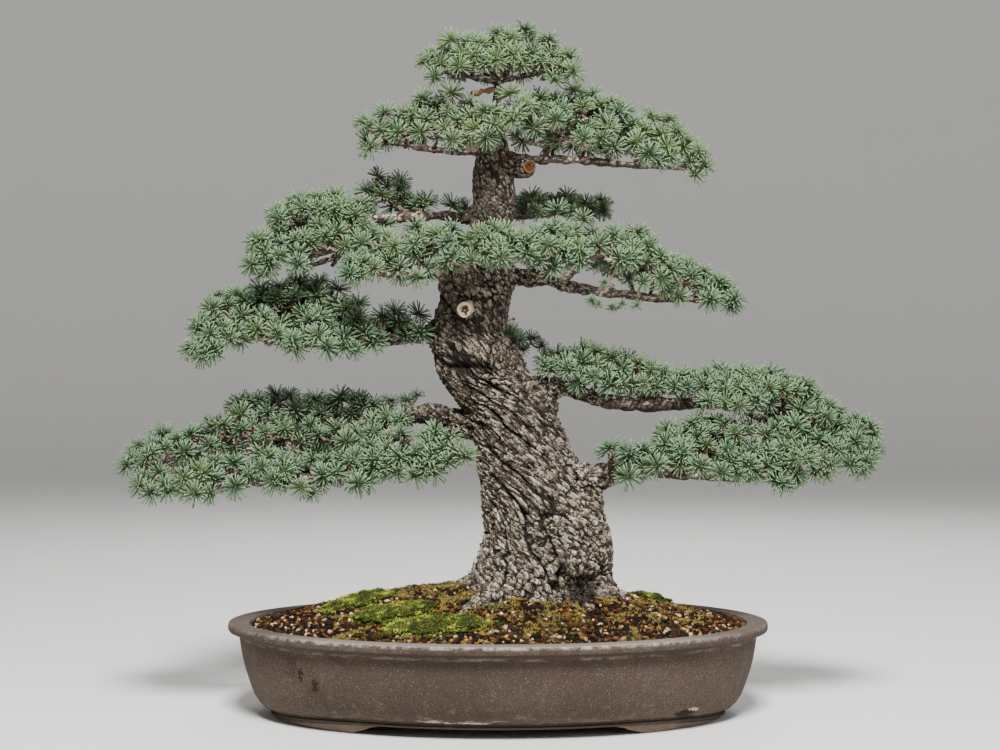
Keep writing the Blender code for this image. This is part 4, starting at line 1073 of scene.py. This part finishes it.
# Radius and height, up the side of a stump and in over its face, where both measure 1.
STUMP_RINGS = [
    (0.88, -1.0), (0.98, -0.84), (0.86, -0.66), (1.0, -0.48), (0.90, -0.30), (0.97, -0.12), (1.06, -0.03),
    (1.0, 0.0), (0.90, -0.012), (0.80, -0.028), (0.64, -0.03), (0.50, -0.12), (0.15, -0.28),
]
stump_rings = []
for radius, height in STUMP_RINGS:
    # The hollow in the face lies off its middle.
    off_middle = 0.6 * (0.8 - radius) if height < -0.02 and radius < 0.8 else 0
    stump_rings.append((radius, radius, 0, off_middle, height))
points, faces = pattern_from(drawn_up("stub", 28, stump_rings))
cap = (points[:, 2] > -0.06) | (np.hypot(points[:, 0], points[:, 1]) < 0.6)
rim = np.where(cap, np.hypot(points[:, 0], points[:, 1]), 2)
copies = []
for (x, y, z), way, radius, length, redness in CUTS:
    turn = np.array(Vector(way).to_track_quat("Z", "Y").to_matrix())
    sized = turn @ np.diag([radius * MM, radius * MM, length * MM])
    copies.append((0, sized, lined_up(x, y, z), redness, radius / 8))
stubs = strewn("cut_stubs", [(points, faces, rim)], copies, "cut")
for vertex in stubs.data.vertices:
    _, red, wide = stubs.data.attributes["cut"].data[vertex.index].vector
    ragged = 3.2 if wide < 0.4 else 0.7 if red > 0.9 else 1.9
    vertex.co += ragged * MM * drift(vertex.co / 0.0065)
raw_wood, start, shader = new_finish("weathered_wood")
rim, redness, _ = start.parts(start.kept("cut"))
grain = start.noise(start.placed(), 330, 4, 0.6)
rings = start.maths("SINE", rim * 42 + grain * 7) * 0.5 + 0.5
wood = start.mix(redness, (0.43, 0.355, 0.275), (0.046, 0.016, 0.004))
wood = start.mix(rings * 0.45, wood, start.mix(redness, (0.24, 0.175, 0.120), (0.032, 0.010, 0.002)))
wood = start.mix((rim + grain * 1.9).ramp(1.60, 1.45) * (1 - redness), wood, (0.070, 0.034, 0.017))
wood = start.mix(rim.ramp(0.84, 0.92) * redness, wood, (0.130, 0.064, 0.030))
side = start.mix(redness, (0.48, 0.41, 0.33), (0.240, 0.092, 0.028))
side = start.mix(grain.ramp(0.42, 0.66) * 0.7, side, (0.13, 0.095, 0.070))
feed(start, shader["Base Color"], start.mix(rim.ramp(1.2, 1.5), wood, side))
feed(start, shader["Roughness"], 0.65 + grain * 0.25)
shader["Specular IOR Level"].default_value = 0.15
feed(start, shader["Normal"], start.bump(grain, 0.001))
dress(stubs, raw_wood)
smooth(stubs, 45)
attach(stubs, "root")


# Each branch is wood from its collar on the trunk out to the twigs, which fork until there is one
# for each tuft. The old limbs have knobbly bark, and the young twigs are smooth and orange-brown.
PHOTO_MIDDLE = 498
PHOTO_GROUND = 712.6
# The tufts that the photograph shows, read off it: millimetres to the right of its left edge
# and below its top edge, at the trunk's distance.
SEEN_TUFTS = {
    "crown": [
        (497, 33), (525, 30), (548, 41), (451, 41), (569, 57), (431, 56), (470, 44), (480, 45), (511, 38),
        (463, 55), (446, 52), (504, 50), (514, 55), (532, 54), (551, 56), (485, 64), (496, 60), (541, 62),
        (522, 64), (561, 67), (573, 72), (435, 78), (425, 62), (441, 65), (459, 67), (554, 80), (475, 57),
    ],
    "upper_left": [
        (423, 99), (442, 102), (434, 107), (451, 94), (470, 104), (385, 114), (404, 114), (370, 126),
        (363, 122), (381, 131), (371, 148), (415, 116), (426, 120), (421, 133), (398, 133), (445, 129),
        (450, 113), (458, 122), (471, 119), (494, 113), (485, 112), (495, 126), (475, 129), (452, 141),
        (468, 138), (486, 138),
    ],
    "upper_right": [
        (509, 95), (540, 99), (575, 91), (593, 94), (610, 103), (526, 107), (517, 115), (512, 120), (555, 101),
        (550, 113), (561, 111), (583, 107), (600, 107), (556, 120), (563, 124), (586, 129), (618, 113),
        (605, 121), (609, 129), (632, 125), (652, 118), (669, 120), (645, 131), (660, 136), (677, 133),
        (683, 148), (636, 143), (648, 154), (614, 148), (602, 139), (584, 139), (667, 148), (670, 159),
        (699, 152), (690, 163), (704, 166), (658, 162), (695, 174), (535, 129),
    ],
    "high_left": [
        (378, 177), (400, 182), (399, 189), (366, 191), (383, 196), (405, 200), (414, 203), (420, 206),
        (426, 203), (298, 201), (317, 199), (335, 196), (336, 204), (314, 210), (303, 209), (276, 213),
        (286, 211), (290, 216), (280, 220), (323, 211), (335, 211), (345, 209), (354, 216), (361, 205),
        (370, 203), (279, 233), (319, 226), (336, 233), (325, 237), (310, 243), (302, 238), (257, 241),
        (263, 242), (281, 245), (294, 242), (345, 246), (363, 244), (373, 235), (366, 229), (252, 265),
        (270, 264), (279, 257), (298, 265), (299, 255), (263, 273), (255, 253), (264, 252), (452, 206),
        (466, 209),
    ],
    "front": [
        (382, 251), (394, 247), (351, 263), (349, 275), (363, 264), (358, 276), (374, 269), (388, 262),
        (399, 269), (396, 260), (407, 255), (417, 278), (416, 228), (419, 241), (414, 247), (418, 256),
        (432, 233), (438, 236), (452, 230), (448, 242), (480, 235), (471, 239), (488, 239), (455, 256),
        (449, 260), (471, 260), (484, 253), (493, 249), (501, 249), (501, 259),
    ],
    "middle_right": [
        (493, 231), (500, 235), (505, 232), (511, 241), (520, 237), (512, 250), (527, 255), (535, 238),
        (526, 243), (525, 248), (539, 261), (549, 232), (557, 210), (556, 228), (565, 237), (555, 246),
        (548, 246), (564, 252), (566, 260), (583, 220), (573, 233), (580, 250), (580, 259), (593, 234),
        (598, 246), (553, 268), (613, 232), (620, 260), (632, 252), (627, 244), (638, 233), (632, 260),
        (649, 247), (662, 259), (655, 254), (648, 263), (661, 279), (670, 270), (688, 266), (692, 277),
        (704, 279), (703, 272), (719, 283), (725, 287), (711, 297), (709, 300), (720, 295), (735, 300),
        (730, 305), (705, 290), (664, 288), (679, 297), (637, 306, 0.5), (612, 308, 0.5), (622, 304, 0.45),
        (605, 283, 0.5), (628, 278, 0.7), (643, 282, 0.8), (592, 301, 0.5), (598, 304, 0.45),
    ],
    "back_right": [
        (525, 205, 0.8), (540, 203, 0.8), (556, 205, 0.8), (571, 203, 0.8), (586, 204, 0.8), (601, 201, 0.8),
        (524, 214, 0.8), (538, 213, 0.8), (602, 211, 0.8), (590, 214, 0.8), (573, 213, 0.8), (556, 214, 0.8),
    ],
    "middle_left": [
        (299, 280), (314, 287), (320, 282), (281, 288), (261, 291), (218, 296), (212, 309), (227, 306),
        (244, 302), (237, 296), (262, 295), (258, 301), (280, 300), (293, 298), (300, 285), (313, 291),
        (317, 297), (338, 290), (337, 305), (345, 310), (359, 304), (356, 320), (383, 317), (395, 312),
        (398, 323), (418, 315), (409, 326), (405, 335), (420, 333), (373, 333), (365, 333), (344, 338),
        (318, 337), (305, 337), (310, 322), (303, 314), (320, 318), (293, 341), (280, 338), (276, 332),
        (295, 348), (280, 325), (262, 318), (257, 330), (266, 322), (243, 317), (237, 334), (232, 322),
        (225, 330), (210, 335), (199, 329), (205, 323), (213, 321), (196, 347), (190, 350), (205, 345),
        (213, 352), (218, 350), (202, 355), (230, 340), (380, 340), (372, 343), (355, 350), (326, 348),
        (343, 348),
    ],
    "back": [
        (514, 341, 0.75), (531, 339, 0.75), (523, 349, 0.7), (541, 346, 0.7),
    ],
    "low_right": [
        (557, 354), (584, 351), (612, 358), (551, 370), (566, 365), (569, 370), (583, 362), (594, 378),
        (596, 366), (544, 366), (589, 376), (608, 376), (622, 383), (632, 385), (623, 370), (638, 365),
        (579, 383), (610, 386), (652, 372), (644, 385), (655, 388), (664, 373), (660, 385), (679, 378),
        (690, 378), (697, 382), (704, 387), (687, 388), (675, 388), (706, 402), (719, 371), (707, 378),
        (717, 384), (727, 376), (729, 384), (722, 390), (715, 391), (741, 372), (746, 378), (740, 388),
        (757, 375), (752, 376), (772, 374), (765, 379), (747, 393), (757, 386), (769, 389), (782, 390),
        (783, 381), (776, 385), (800, 383), (807, 387), (795, 392), (739, 406), (710, 402), (725, 405),
        (757, 399), (755, 405), (769, 404), (813, 398), (800, 410), (830, 408), (817, 413), (806, 403),
        (826, 417), (836, 426), (858, 422), (849, 424), (794, 425), (787, 428), (811, 432), (820, 440),
        (832, 437), (830, 445), (836, 450), (845, 452), (855, 442), (857, 434), (873, 436), (870, 428),
        (875, 450), (866, 452), (860, 462), (868, 462), (861, 468), (850, 465), (830, 465), (822, 460),
        (815, 470), (825, 475),
    ],
    "low_front_right": [
        (724, 425), (736, 435), (736, 449), (727, 450), (751, 452), (745, 430), (765, 436), (775, 430),
        (783, 451), (773, 455), (771, 441), (790, 440), (797, 427), (806, 449), (798, 452), (806, 460),
        (795, 461), (796, 476), (786, 470), (776, 482), (784, 485), (767, 466), (755, 473), (749, 466),
        (738, 475), (722, 474), (715, 468), (730, 462), (702, 468), (698, 467), (681, 465), (682, 455),
        (658, 467), (651, 457), (643, 451), (625, 460), (610, 449), (630, 455), (638, 465), (628, 478),
        (668, 429), (679, 440), (666, 445), (665, 437), (692, 424), (684, 432), (698, 437), (703, 432),
        (685, 447), (680, 450), (675, 458), (699, 420), (707, 445), (706, 433), (740, 460), (765, 452),
        (646, 469),
    ],
    "low_left": [
        (236, 406), (241, 415), (268, 413), (276, 396), (265, 433), (241, 430), (284, 430), (214, 426),
        (223, 426), (210, 446), (190, 435), (176, 441), (166, 449), (185, 453), (162, 434), (139, 446),
        (147, 459), (126, 467), (133, 460), (159, 473), (153, 454), (140, 487), (165, 485), (184, 479),
        (195, 494), (214, 463), (234, 464), (214, 479), (204, 474), (236, 487), (249, 477), (263, 455),
        (270, 458), (284, 462), (293, 467), (275, 482), (282, 482), (284, 473), (301, 488), (289, 396),
        (295, 411), (254, 402), (261, 402), (242, 402), (168, 492), (151, 493), (211, 494), (262, 469),
        (316, 400), (303, 406), (340, 398), (363, 399, 0.9), (356, 400), (374, 405, 0.8), (390, 401, 0.7),
        (406, 401, 0.7), (417, 396, 0.65), (310, 426), (337, 429), (351, 415), (363, 407), (372, 420),
        (370, 426), (387, 419), (398, 423), (403, 419), (321, 415), (345, 443), (362, 440), (373, 434),
        (388, 450), (402, 435), (425, 438), (435, 434), (450, 438), (444, 449), (430, 448), (432, 458),
        (465, 457), (458, 453), (399, 457), (408, 462), (374, 461), (384, 458), (351, 463), (356, 459),
        (312, 461), (326, 462), (323, 477), (336, 474), (312, 493), (356, 479), (368, 481), (373, 471),
        (358, 485), (397, 473), (387, 470), (415, 475), (434, 473), (426, 468), (418, 455), (447, 462),
        (393, 464),
    ],
}
# How far apart the tufts stand that the photograph doesn't show, in millimetres, how often a place
# is tried for one in each clump, and how large one inside a pad is against the outer ones.
TUFT_SPACING = 13.5
TUFT_TRIES = 300
INNER_SIZE = 0.86
# The spur that carries a tuft, and the dead twigs under each clump.
SPUR = 8 * MM
BARE_TWIGS = 7
LONGEST_BARE_TWIG = 24 * MM
# More clumps behind those seen, where the pads are filled with shaded tufts.
INNER_CLUMPS = {
    "crown": [(-34, 10, 644, 26, 22, 7), (4, 14, 642, 26, 24, 7), (38, 10, 645, 24, 22, 7)],
    "upper_left": [(-75, 18, 578, 42, 22, 8)],
    "upper_right": [(55, 16, 575, 40, 24, 9), (120, 20, 570, 44, 22, 10)],
    "high_left": [(-185, 16, 482, 44, 24, 12), (-130, 24, 492, 22, 20, 8)],
    "front": [(-50, -52, 456, 46, 18, 7)],
    "middle_right": [(60, -4, 455, 46, 22, 8), (140, 8, 446, 44, 22, 9)],
    "middle_left": [(-235, 18, 392, 46, 24, 9), (-150, 22, 388, 44, 22, 9)],
    "low_right": [(190, 14, 322, 60, 26, 8), (310, 12, 292, 40, 28, 14)],
    "low_front_right": [(220, -26, 256, 60, 20, 12), (240, -34, 284, 46, 16, 9)],
    "low_left": [
        (-248, 22, 281, 44, 26, 8), (-150, 14, 274, 44, 22, 9), (-235, -4, 268, 40, 24, 8),
        (-160, -14, 258, 44, 22, 8), (-300, 8, 256, 34, 26, 9), (-225, 40, 266, 52, 14, 8),
    ],
}


def tufts_seen(clumps, seen, draw):
    """Places for the tufts of the photograph, with the way that each faces. A clump's lowest tufts are
    its foremost, and its highest stand over its middle."""
    half = (max(tuft[0] for tuft in seen) - min(tuft[0] for tuft in seen)) / 2 + 15
    middle = sum(tuft[0] for tuft in seen) / len(seen)
    tufts = []
    for across, down, *size in seen:
        x, z = across - PHOTO_MIDDLE, PHOTO_GROUND - down
        _, centre, depth, low, high = min(
            (math.hypot((x - a) / d, (z - c) / f), b, e, c - f, c + f) for a, b, c, d, e, f in clumps
        )
        rise = math.pi / 2 * min(1.0, max(0.0, (z - low) / (high - low)))
        y = centre - depth * math.cos(rise) * 0.9 + draw.gauss(0, 3)
        way = Vector(((across - middle) / half * 0.7, -math.cos(rise), math.sin(rise) + 0.35))
        tufts.append((lined_up(x, y, z), way.normalized(), size[0] if size else 1.0))
    return tufts


def tufts_unseen(clumps, seen, draw):
    """Places for more tufts over the backs and the insides of the clumps, clear of those seen. The
    inner ones are smaller, and their needles are painted darker, as painted shade."""
    free = []
    for x, y, z, length, depth, height in clumps:
        for _ in range(TUFT_TRIES):
            way = astray(draw).normalized()
            if way.z < -0.75 or way.y < -0.2:
                continue
            out, size = draw.choice(((1.0, 0.95), (0.94, 0.95), (0.5, INNER_SIZE)))
            place = Vector((x + out * length * way.x, y + out * depth * way.y, z + out * height * way.z))
            facing = Vector((way.x / length, way.y / depth, way.z / height)).normalized()
            free.append((lined_up(*place), (facing + Vector((0, 0, 0.55))).normalized(), size))
    places = np.array([place for place, *_ in free])
    taken = np.full(len(free), False)
    for place, *_ in seen:
        taken |= np.linalg.norm(places - np.array(place), axis=1) < TUFT_SPACING * MM
    chosen = []
    for index in range(len(free)):
        if not taken[index]:
            chosen.append(free[index])
            taken |= np.linalg.norm(places - places[index], axis=1) < TUFT_SPACING * MM
    return chosen


def offshoots(limbs, clumps, draw):
    """Side limbs from the nearest wood to the lower front and back of each clump of tufts."""
    knots = [Vector(point[:3]) for path in limbs for point in path]
    thickness = [point[3] for path in limbs for point in path]
    paths = []
    for x, y, z, length, depth, height in clumps:
        for share in (-0.62, -0.1, 0.55):
            right, up = draw.gauss(0, 0.3), draw.uniform(-0.9, -0.3)
            end = lined_up(x + right * length, y + share * depth, z + up * height)
            nearest = min(range(len(knots)), key=lambda index: (knots[index] - end).length)
            first = knots[nearest]
            reach = (end - first).length
            if reach < 9 * MM:
                continue
            bend = Vector((draw.gauss(0, 1), draw.gauss(0, 1), -abs(draw.gauss(0, 1)))) * reach * 0.09
            radius = min(thickness[nearest] * 0.8, 1.5 * MM + reach * 0.035)
            paths.append(rounded([
                (*first, radius), (*(first.lerp(end, 0.4) + bend), radius * 0.85),
                (*(first.lerp(end, 0.75) + bend), radius * 0.7), (*end, max(1.1 * MM, radius * 0.5)),
            ], 3 * MM))
    return paths


def bare_twigs(limbs, clumps, draw):
    """Short dead twigs, grey and crooked, that stand about the undersides of the clumps."""
    knots = [Vector(point[:3]) for path in limbs for point in path]
    paths = []
    for x, y, z, length, depth, height in clumps:
        for _ in range(BARE_TWIGS):
            way = Vector((draw.gauss(0, 0.6), draw.uniform(-1, 0.5), draw.uniform(-1.1, -0.5)))
            end = lined_up(x + way.x * length, y + way.y * depth, z + way.z * height)
            first = min(knots, key=lambda knot: (knot - end).length)
            if (end - first).length < 5 * MM:
                continue
            end = first + (end - first).normalized() * min((end - first).length, LONGEST_BARE_TWIG)
            bend = astray(draw) * (end - first).length * 0.16
            thick = draw.uniform(0.9, 1.5) * MM
            paths.append([
                (*first, thick), (*(first.lerp(end, 0.4) + bend), thick * 0.9),
                (*(first.lerp(end, 0.75) - bend * 0.5), thick * 0.8), (*end, thick * 0.6),
            ])
    return paths


def grow_twigs(limbs, tufts, draw):
    """Joins each tuft to the nearest wood by a twig, the nearest tufts first. What carries many is thick."""
    knots = [Vector(point[:3]) for path in limbs for point in path]
    parents = [-1] * len(knots)
    order = sorted(tufts, key=lambda tuft: min((tuft[0] - knot).length for knot in knots))
    ends = []
    for place, facing, size in order:
        foot = place - facing * size * SPUR
        gaps = np.linalg.norm(np.array(knots) - np.array(foot), axis=1)
        parent = int(np.argmin(gaps))
        middle = (knots[parent] + foot) / 2
        sag = Vector((draw.gauss(0, 1), draw.gauss(0, 1), draw.gauss(0, 1) - 1.5)) * MM
        middle += sag * min(1.5, gaps[parent] / 0.02)
        for point in (middle, foot):
            knots.append(point)
            parents.append(parent)
            parent = len(knots) - 1
        ends.append((parent, place))
    load = [0] * len(knots)
    for index in range(len(knots) - 1, -1, -1):
        load[index] += 1
        if parents[index] >= 0:
            load[parents[index]] += load[index] * 0.5
    twigs = []
    for foot, place in ends:
        middle = parents[foot]
        root = parents[middle]
        thick = [(0.75 + 0.36 * math.sqrt(min(load[index], 12))) * MM for index in (middle, foot)]
        twigs.append([
            (*knots[root], thick[0]), (*knots[middle], thick[0]), (*knots[foot], thick[1]), (*place, 0.9 * MM),
        ])
    return twigs


def tell(piece, name, values):
    """Keeps three numbers for each point of the piece, for its material."""
    values = np.broadcast_to(np.asarray(values, np.float32), (len(piece.data.vertices), 3))
    made = piece.data.attributes.new(name, "FLOAT_VECTOR", "POINT")
    made.data.foreach_set("vector", np.ascontiguousarray(values).ravel())


branch_bark, start, shader = new_finish("branch_bark")
crack, young, upper = start.parts(start.kept("wood"))
where = start.placed()
fibre = start.noise(start.placed(120, 320, 320), 1, 4, 0.65)
wander = start.vectors("ADD", start.placed(150, 240, 240), start.noise(where, 170.0, 3.0, 0.5, 1))
flake = start.cells(wander, feature="DISTANCE_TO_EDGE").ramp(0.01, 0.16)
scale = start.add("SeparateColor", None, {"Color": start.cells(wander, output=1)})
old = start.mix(start.noise(where, 75, 4, 0.7).ramp(0.40, 0.58), (0.240, 0.165, 0.120), (0.62, 0.52, 0.425))
old = start.mix(scale.ramp(0.6, 0.1) * 0.6, old, (0.100, 0.066, 0.046))
old = start.mix(scale.ramp(0.70, 0.95) * 0.6, old, (0.70, 0.61, 0.52))
old = start.mix(fibre.ramp(0.48, 0.66) * 0.6, old, (0.120, 0.070, 0.045))
old = start.mix((1 - flake) * start.noise(where, 240, 3, 0.6).ramp(0.35, 0.6) * 0.9, old, (0.035, 0.021, 0.014))
# Painted shade in the cracks, and on the undersides of the limbs.
old = start.mix(crack.ramp(0.2, 0.9) * 0.9, old, (0.022, 0.014, 0.009))
old = start.mix(upper.ramp(0.62, 0.20) * 0.7, old, (0.045, 0.029, 0.020))
twig = start.mix(fibre.ramp(0.35, 0.65), (0.150, 0.078, 0.038), (0.42, 0.300, 0.200))
feed(start, shader["Base Color"], start.mix(young, old, twig))
feed(start, shader["Roughness"], 0.75 + fibre * 0.15)
shader["Specular IOR Level"].default_value = 0.3
feed(start, shader["Normal"], start.bump(flake * 0.9 + scale * 0.8 + fibre * 0.8, 0.0016))

leafy = {}
for number, (name, branch) in enumerate(BRANCHES.items()):
    draw = random.Random(100 + number)
    limbs = [rounded(in_metres(path), 3 * MM) for path in branch["limbs"]]
    tufts = tufts_seen(branch["clumps"], SEEN_TUFTS[name], draw)
    clumps = branch["clumps"] + INNER_CLUMPS.get(name, [])
    tufts += tufts_unseen(clumps, tufts, draw)
    leafy[name] = tufts
    limbs += offshoots(limbs, clumps, draw)
    dead = bare_twigs(limbs, clumps, draw)
    twigs = grow_twigs(limbs, tufts, draw)
    young = max(0, old_end(name, limbs[0]) - 3)
    wood = tubes(name + "_wood", [knobbly(path) for path in [limbs[0][young:]] + limbs[1:]], 3)
    rough = np.zeros((len(wood.data.vertices), 3), np.float32)
    for vertex in wood.data.vertices:
        at = vertex.co / MM
        distances, points = noise.voronoi(Vector((at.x / 6.5, at.y / 4, at.z / 4)))
        edge = min(1.0, (distances[1] - distances[0]) / 0.3)
        vertex.co += vertex.normal * ((edge - 0.7) * 0.9 + noise.noise(at / 5) * 0.7) * MM
        rough[vertex.index] = (1 - edge, 0, 0.5 + 0.5 * vertex.normal.z)
    tell(wood, "wood", rough)
    sprigs = tubes(name + "_twigs", twigs, 0)
    tell(sprigs, "wood", (0, 0.75, 0.45))
    snags = tubes(name + "_snags", dead, 0)
    tell(snags, "wood", (0, 0.2, 0.45))
    pick(wood, sprigs, snags)
    bpy.ops.object.join()
    smooth(wood, 60)
    dress(wood, branch_bark)
    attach(wood, "root")
    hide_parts("branch_" + name)


# The needles of a cedar grow in tufts on short spurs: thirty to forty-odd stiff blue-green needles
# round a brown bud, 14 to 16 mm long, blunt and paler towards their tips.
NEEDLES = 41
TUFT_KINDS = 10
NEEDLE_LENGTH = 12.6 * MM
# Each needle stands this much further round its bud than the last, in radians.
GOLDEN_ANGLE = 2.39996

let_go()
bpy.ops.mesh.primitive_circle_add(vertices=3, radius=0.52, fill_type="NOTHING", location=(0, 0, 0))
bpy.ops.object.mode_set(mode="EDIT")
bpy.ops.mesh.extrude_edges_move(TRANSFORM_OT_translate={"value": (0, 0, 1)})
bpy.ops.transform.resize(value=(1.46, 1.46, 1), center_override=(0, 0, 1))
bpy.ops.mesh.edge_face_add()
bpy.ops.mesh.select_all(action="SELECT")
bpy.ops.mesh.normals_make_consistent(inside=False)
bpy.ops.object.mode_set(mode="OBJECT")
needle_points, needle_faces = pattern_from(bpy.context.object)

let_go()
bpy.ops.mesh.primitive_cone_add(
    vertices=5, radius1=1.1 * MM, radius2=0.4 * MM, depth=3.4 * MM, location=(0, 0, 1.5 * MM)
)
bpy.ops.object.transform_apply(location=True)
bud_points, bud_faces = pattern_from(bpy.context.object)


def tuft_shape(draw):
    """One tuft round the Z axis: its points, its faces, and how far along its needle each point is."""
    points, faces, reach = [bud_points], [bud_faces], [np.full(len(bud_points), -1.0)]
    count = len(bud_points)
    for index in range(NEEDLES):
        up = 0.78 - index / NEEDLES * 1.06
        level = math.sqrt(max(0, 1 - up * up))
        turn = index * GOLDEN_ANGLE + draw.uniform(-0.25, 0.25)
        rise = up + draw.uniform(-0.1, 0.1)
        way = Vector((level * math.cos(turn), level * math.sin(turn), rise)).normalized()
        length = NEEDLE_LENGTH * draw.uniform(0.90, 1.04)
        matrix = np.array(spun(way, draw))
        sized = needle_points * np.array([MM, MM, length])
        foot = np.array(way) * 1.5 * MM + np.array([0, 0, up * 1.8 * MM])
        points.append(sized @ matrix.T + foot)
        faces.append(needle_faces + count)
        reach.append(needle_points[:, 2])
        count += len(needle_points)
    return np.concatenate(points), np.concatenate(faces), np.concatenate(reach)


draw = random.Random(21)
tuft_shapes = [tuft_shape(draw) for _ in range(TUFT_KINDS)]

needle_green, start, shader = new_finish("needles")
reach, tone, fresh = start.parts(start.kept("needle"))
# Each needle is painted near black at its foot, as painted shade in the middle of its tuft, and paler towards
# its tip.
colour = start.mix(reach.ramp(0.0, 0.6), (0.011, 0.026, 0.010), (0.040, 0.092, 0.044))
colour = start.mix(reach.ramp(0.40, 1.0) * 0.72, colour, (0.205, 0.295, 0.165))
colour = start.mix(tone.ramp(0.0, 1.0) * 0.16, colour, (0.120, 0.200, 0.095))
colour = start.mix(fresh * 0.55, colour, (0.200, 0.270, 0.050))
# Painted shade on the tufts inside the pads.
colour = start.mix(tone.ramp(0.0, -0.5) * 0.6, colour, (0.010, 0.026, 0.011))
colour = start.mix(reach.ramp(-0.5, -0.9), colour, (0.200, 0.085, 0.032))
feed(start, shader["Base Color"], colour)
feed(start, shader["Roughness"], 0.45 + fresh * 0.15)
shader["Specular IOR Level"].default_value = 0.4

for number, (name, tufts) in enumerate(leafy.items()):
    draw = random.Random(300 + number)
    copies = []
    for place, facing, size in tufts:
        turn = np.array(spun((facing + astray(draw, 0.22)).normalized(), draw))
        upper = min(1.0, max(0.0, (place.z - 0.42) / 0.24))
        # Tufts inside the pads get a tone below zero, for painted shade.
        tone = min(1.0, max(0.0, draw.gauss(0.35 + 0.35 * upper, 0.22))) - (size == INNER_SIZE)
        fresh = max(0.0, draw.gauss(0.10 + 0.22 * upper, 0.12))
        kind = draw.randrange(TUFT_KINDS)
        copies.append((kind, turn * size * draw.uniform(0.80, 1.08), place, tone, fresh))
    needles = strewn(name + "_needles", tuft_shapes, copies, "needle")
    needles.data.shade_smooth()
    dress(needles, needle_green)
    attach(needles, "root")
    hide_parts("branch_" + name)


# The tree stands on a plain pale studio floor that curves up into a wall all round, under large soft
# lamps: one high in front, a weaker one at the right, and one behind to lift the edges.
FLOOR_RADIUS = 4.5
# Radius and height where the floor curves up into the wall, in metres.
SWEEP = [(5.2, 0.0), (5.9, 0.1), (6.5, 0.4), (7.0, 0.9), (7.3, 1.5), (7.4, 2.2), (7.4, 5.0)]
let_go()
bpy.ops.mesh.primitive_circle_add(vertices=96, radius=FLOOR_RADIUS, fill_type="NGON", location=(0, 0, 0))
floor = bpy.context.object
floor.name = "floor"
bpy.ops.object.mode_set(mode="EDIT")
reach, height = FLOOR_RADIUS, 0.0
for next_reach, next_height in SWEEP:
    bpy.ops.mesh.extrude_edges_move(TRANSFORM_OT_translate={"value": (0, 0, next_height - height)})
    growth = next_reach / reach
    bpy.ops.transform.resize(value=(growth, growth, 1), center_override=(0, 0, next_height))
    reach, height = next_reach, next_height
smooth(floor, 60)
pale, start, shader = new_finish("pale_floor")
shader["Base Color"].default_value = (0.78, 0.77, 0.75, 1)
shader["Roughness"].default_value = 0.85
dress(floor, pale)

# Place and size in metres, and power in watts.
LAMPS = [
    ((0.05, -2.2, 2.5), 0.7, 262),
    ((1.9, -1.5, 1.3), 1.4, 12),
    ((0.4, 2.0, 1.9), 1.6, 30),
]
for place, size, power in LAMPS:
    way = Vector((0, 0, 0.35)) - Vector(place)
    bpy.ops.object.light_add(type="AREA", location=place, rotation=way.to_track_quat("-Z", "Y").to_euler())
    lamp = bpy.context.object.data
    lamp.size = size
    lamp.energy = power

world = bpy.data.worlds.new("soft_room")
bpy.context.scene.world = world
world.use_nodes = True
world.node_tree.nodes["Background"].inputs["Color"].default_value = (0.80, 0.81, 0.83, 1)
world.node_tree.nodes["Background"].inputs["Strength"].default_value = 0.24
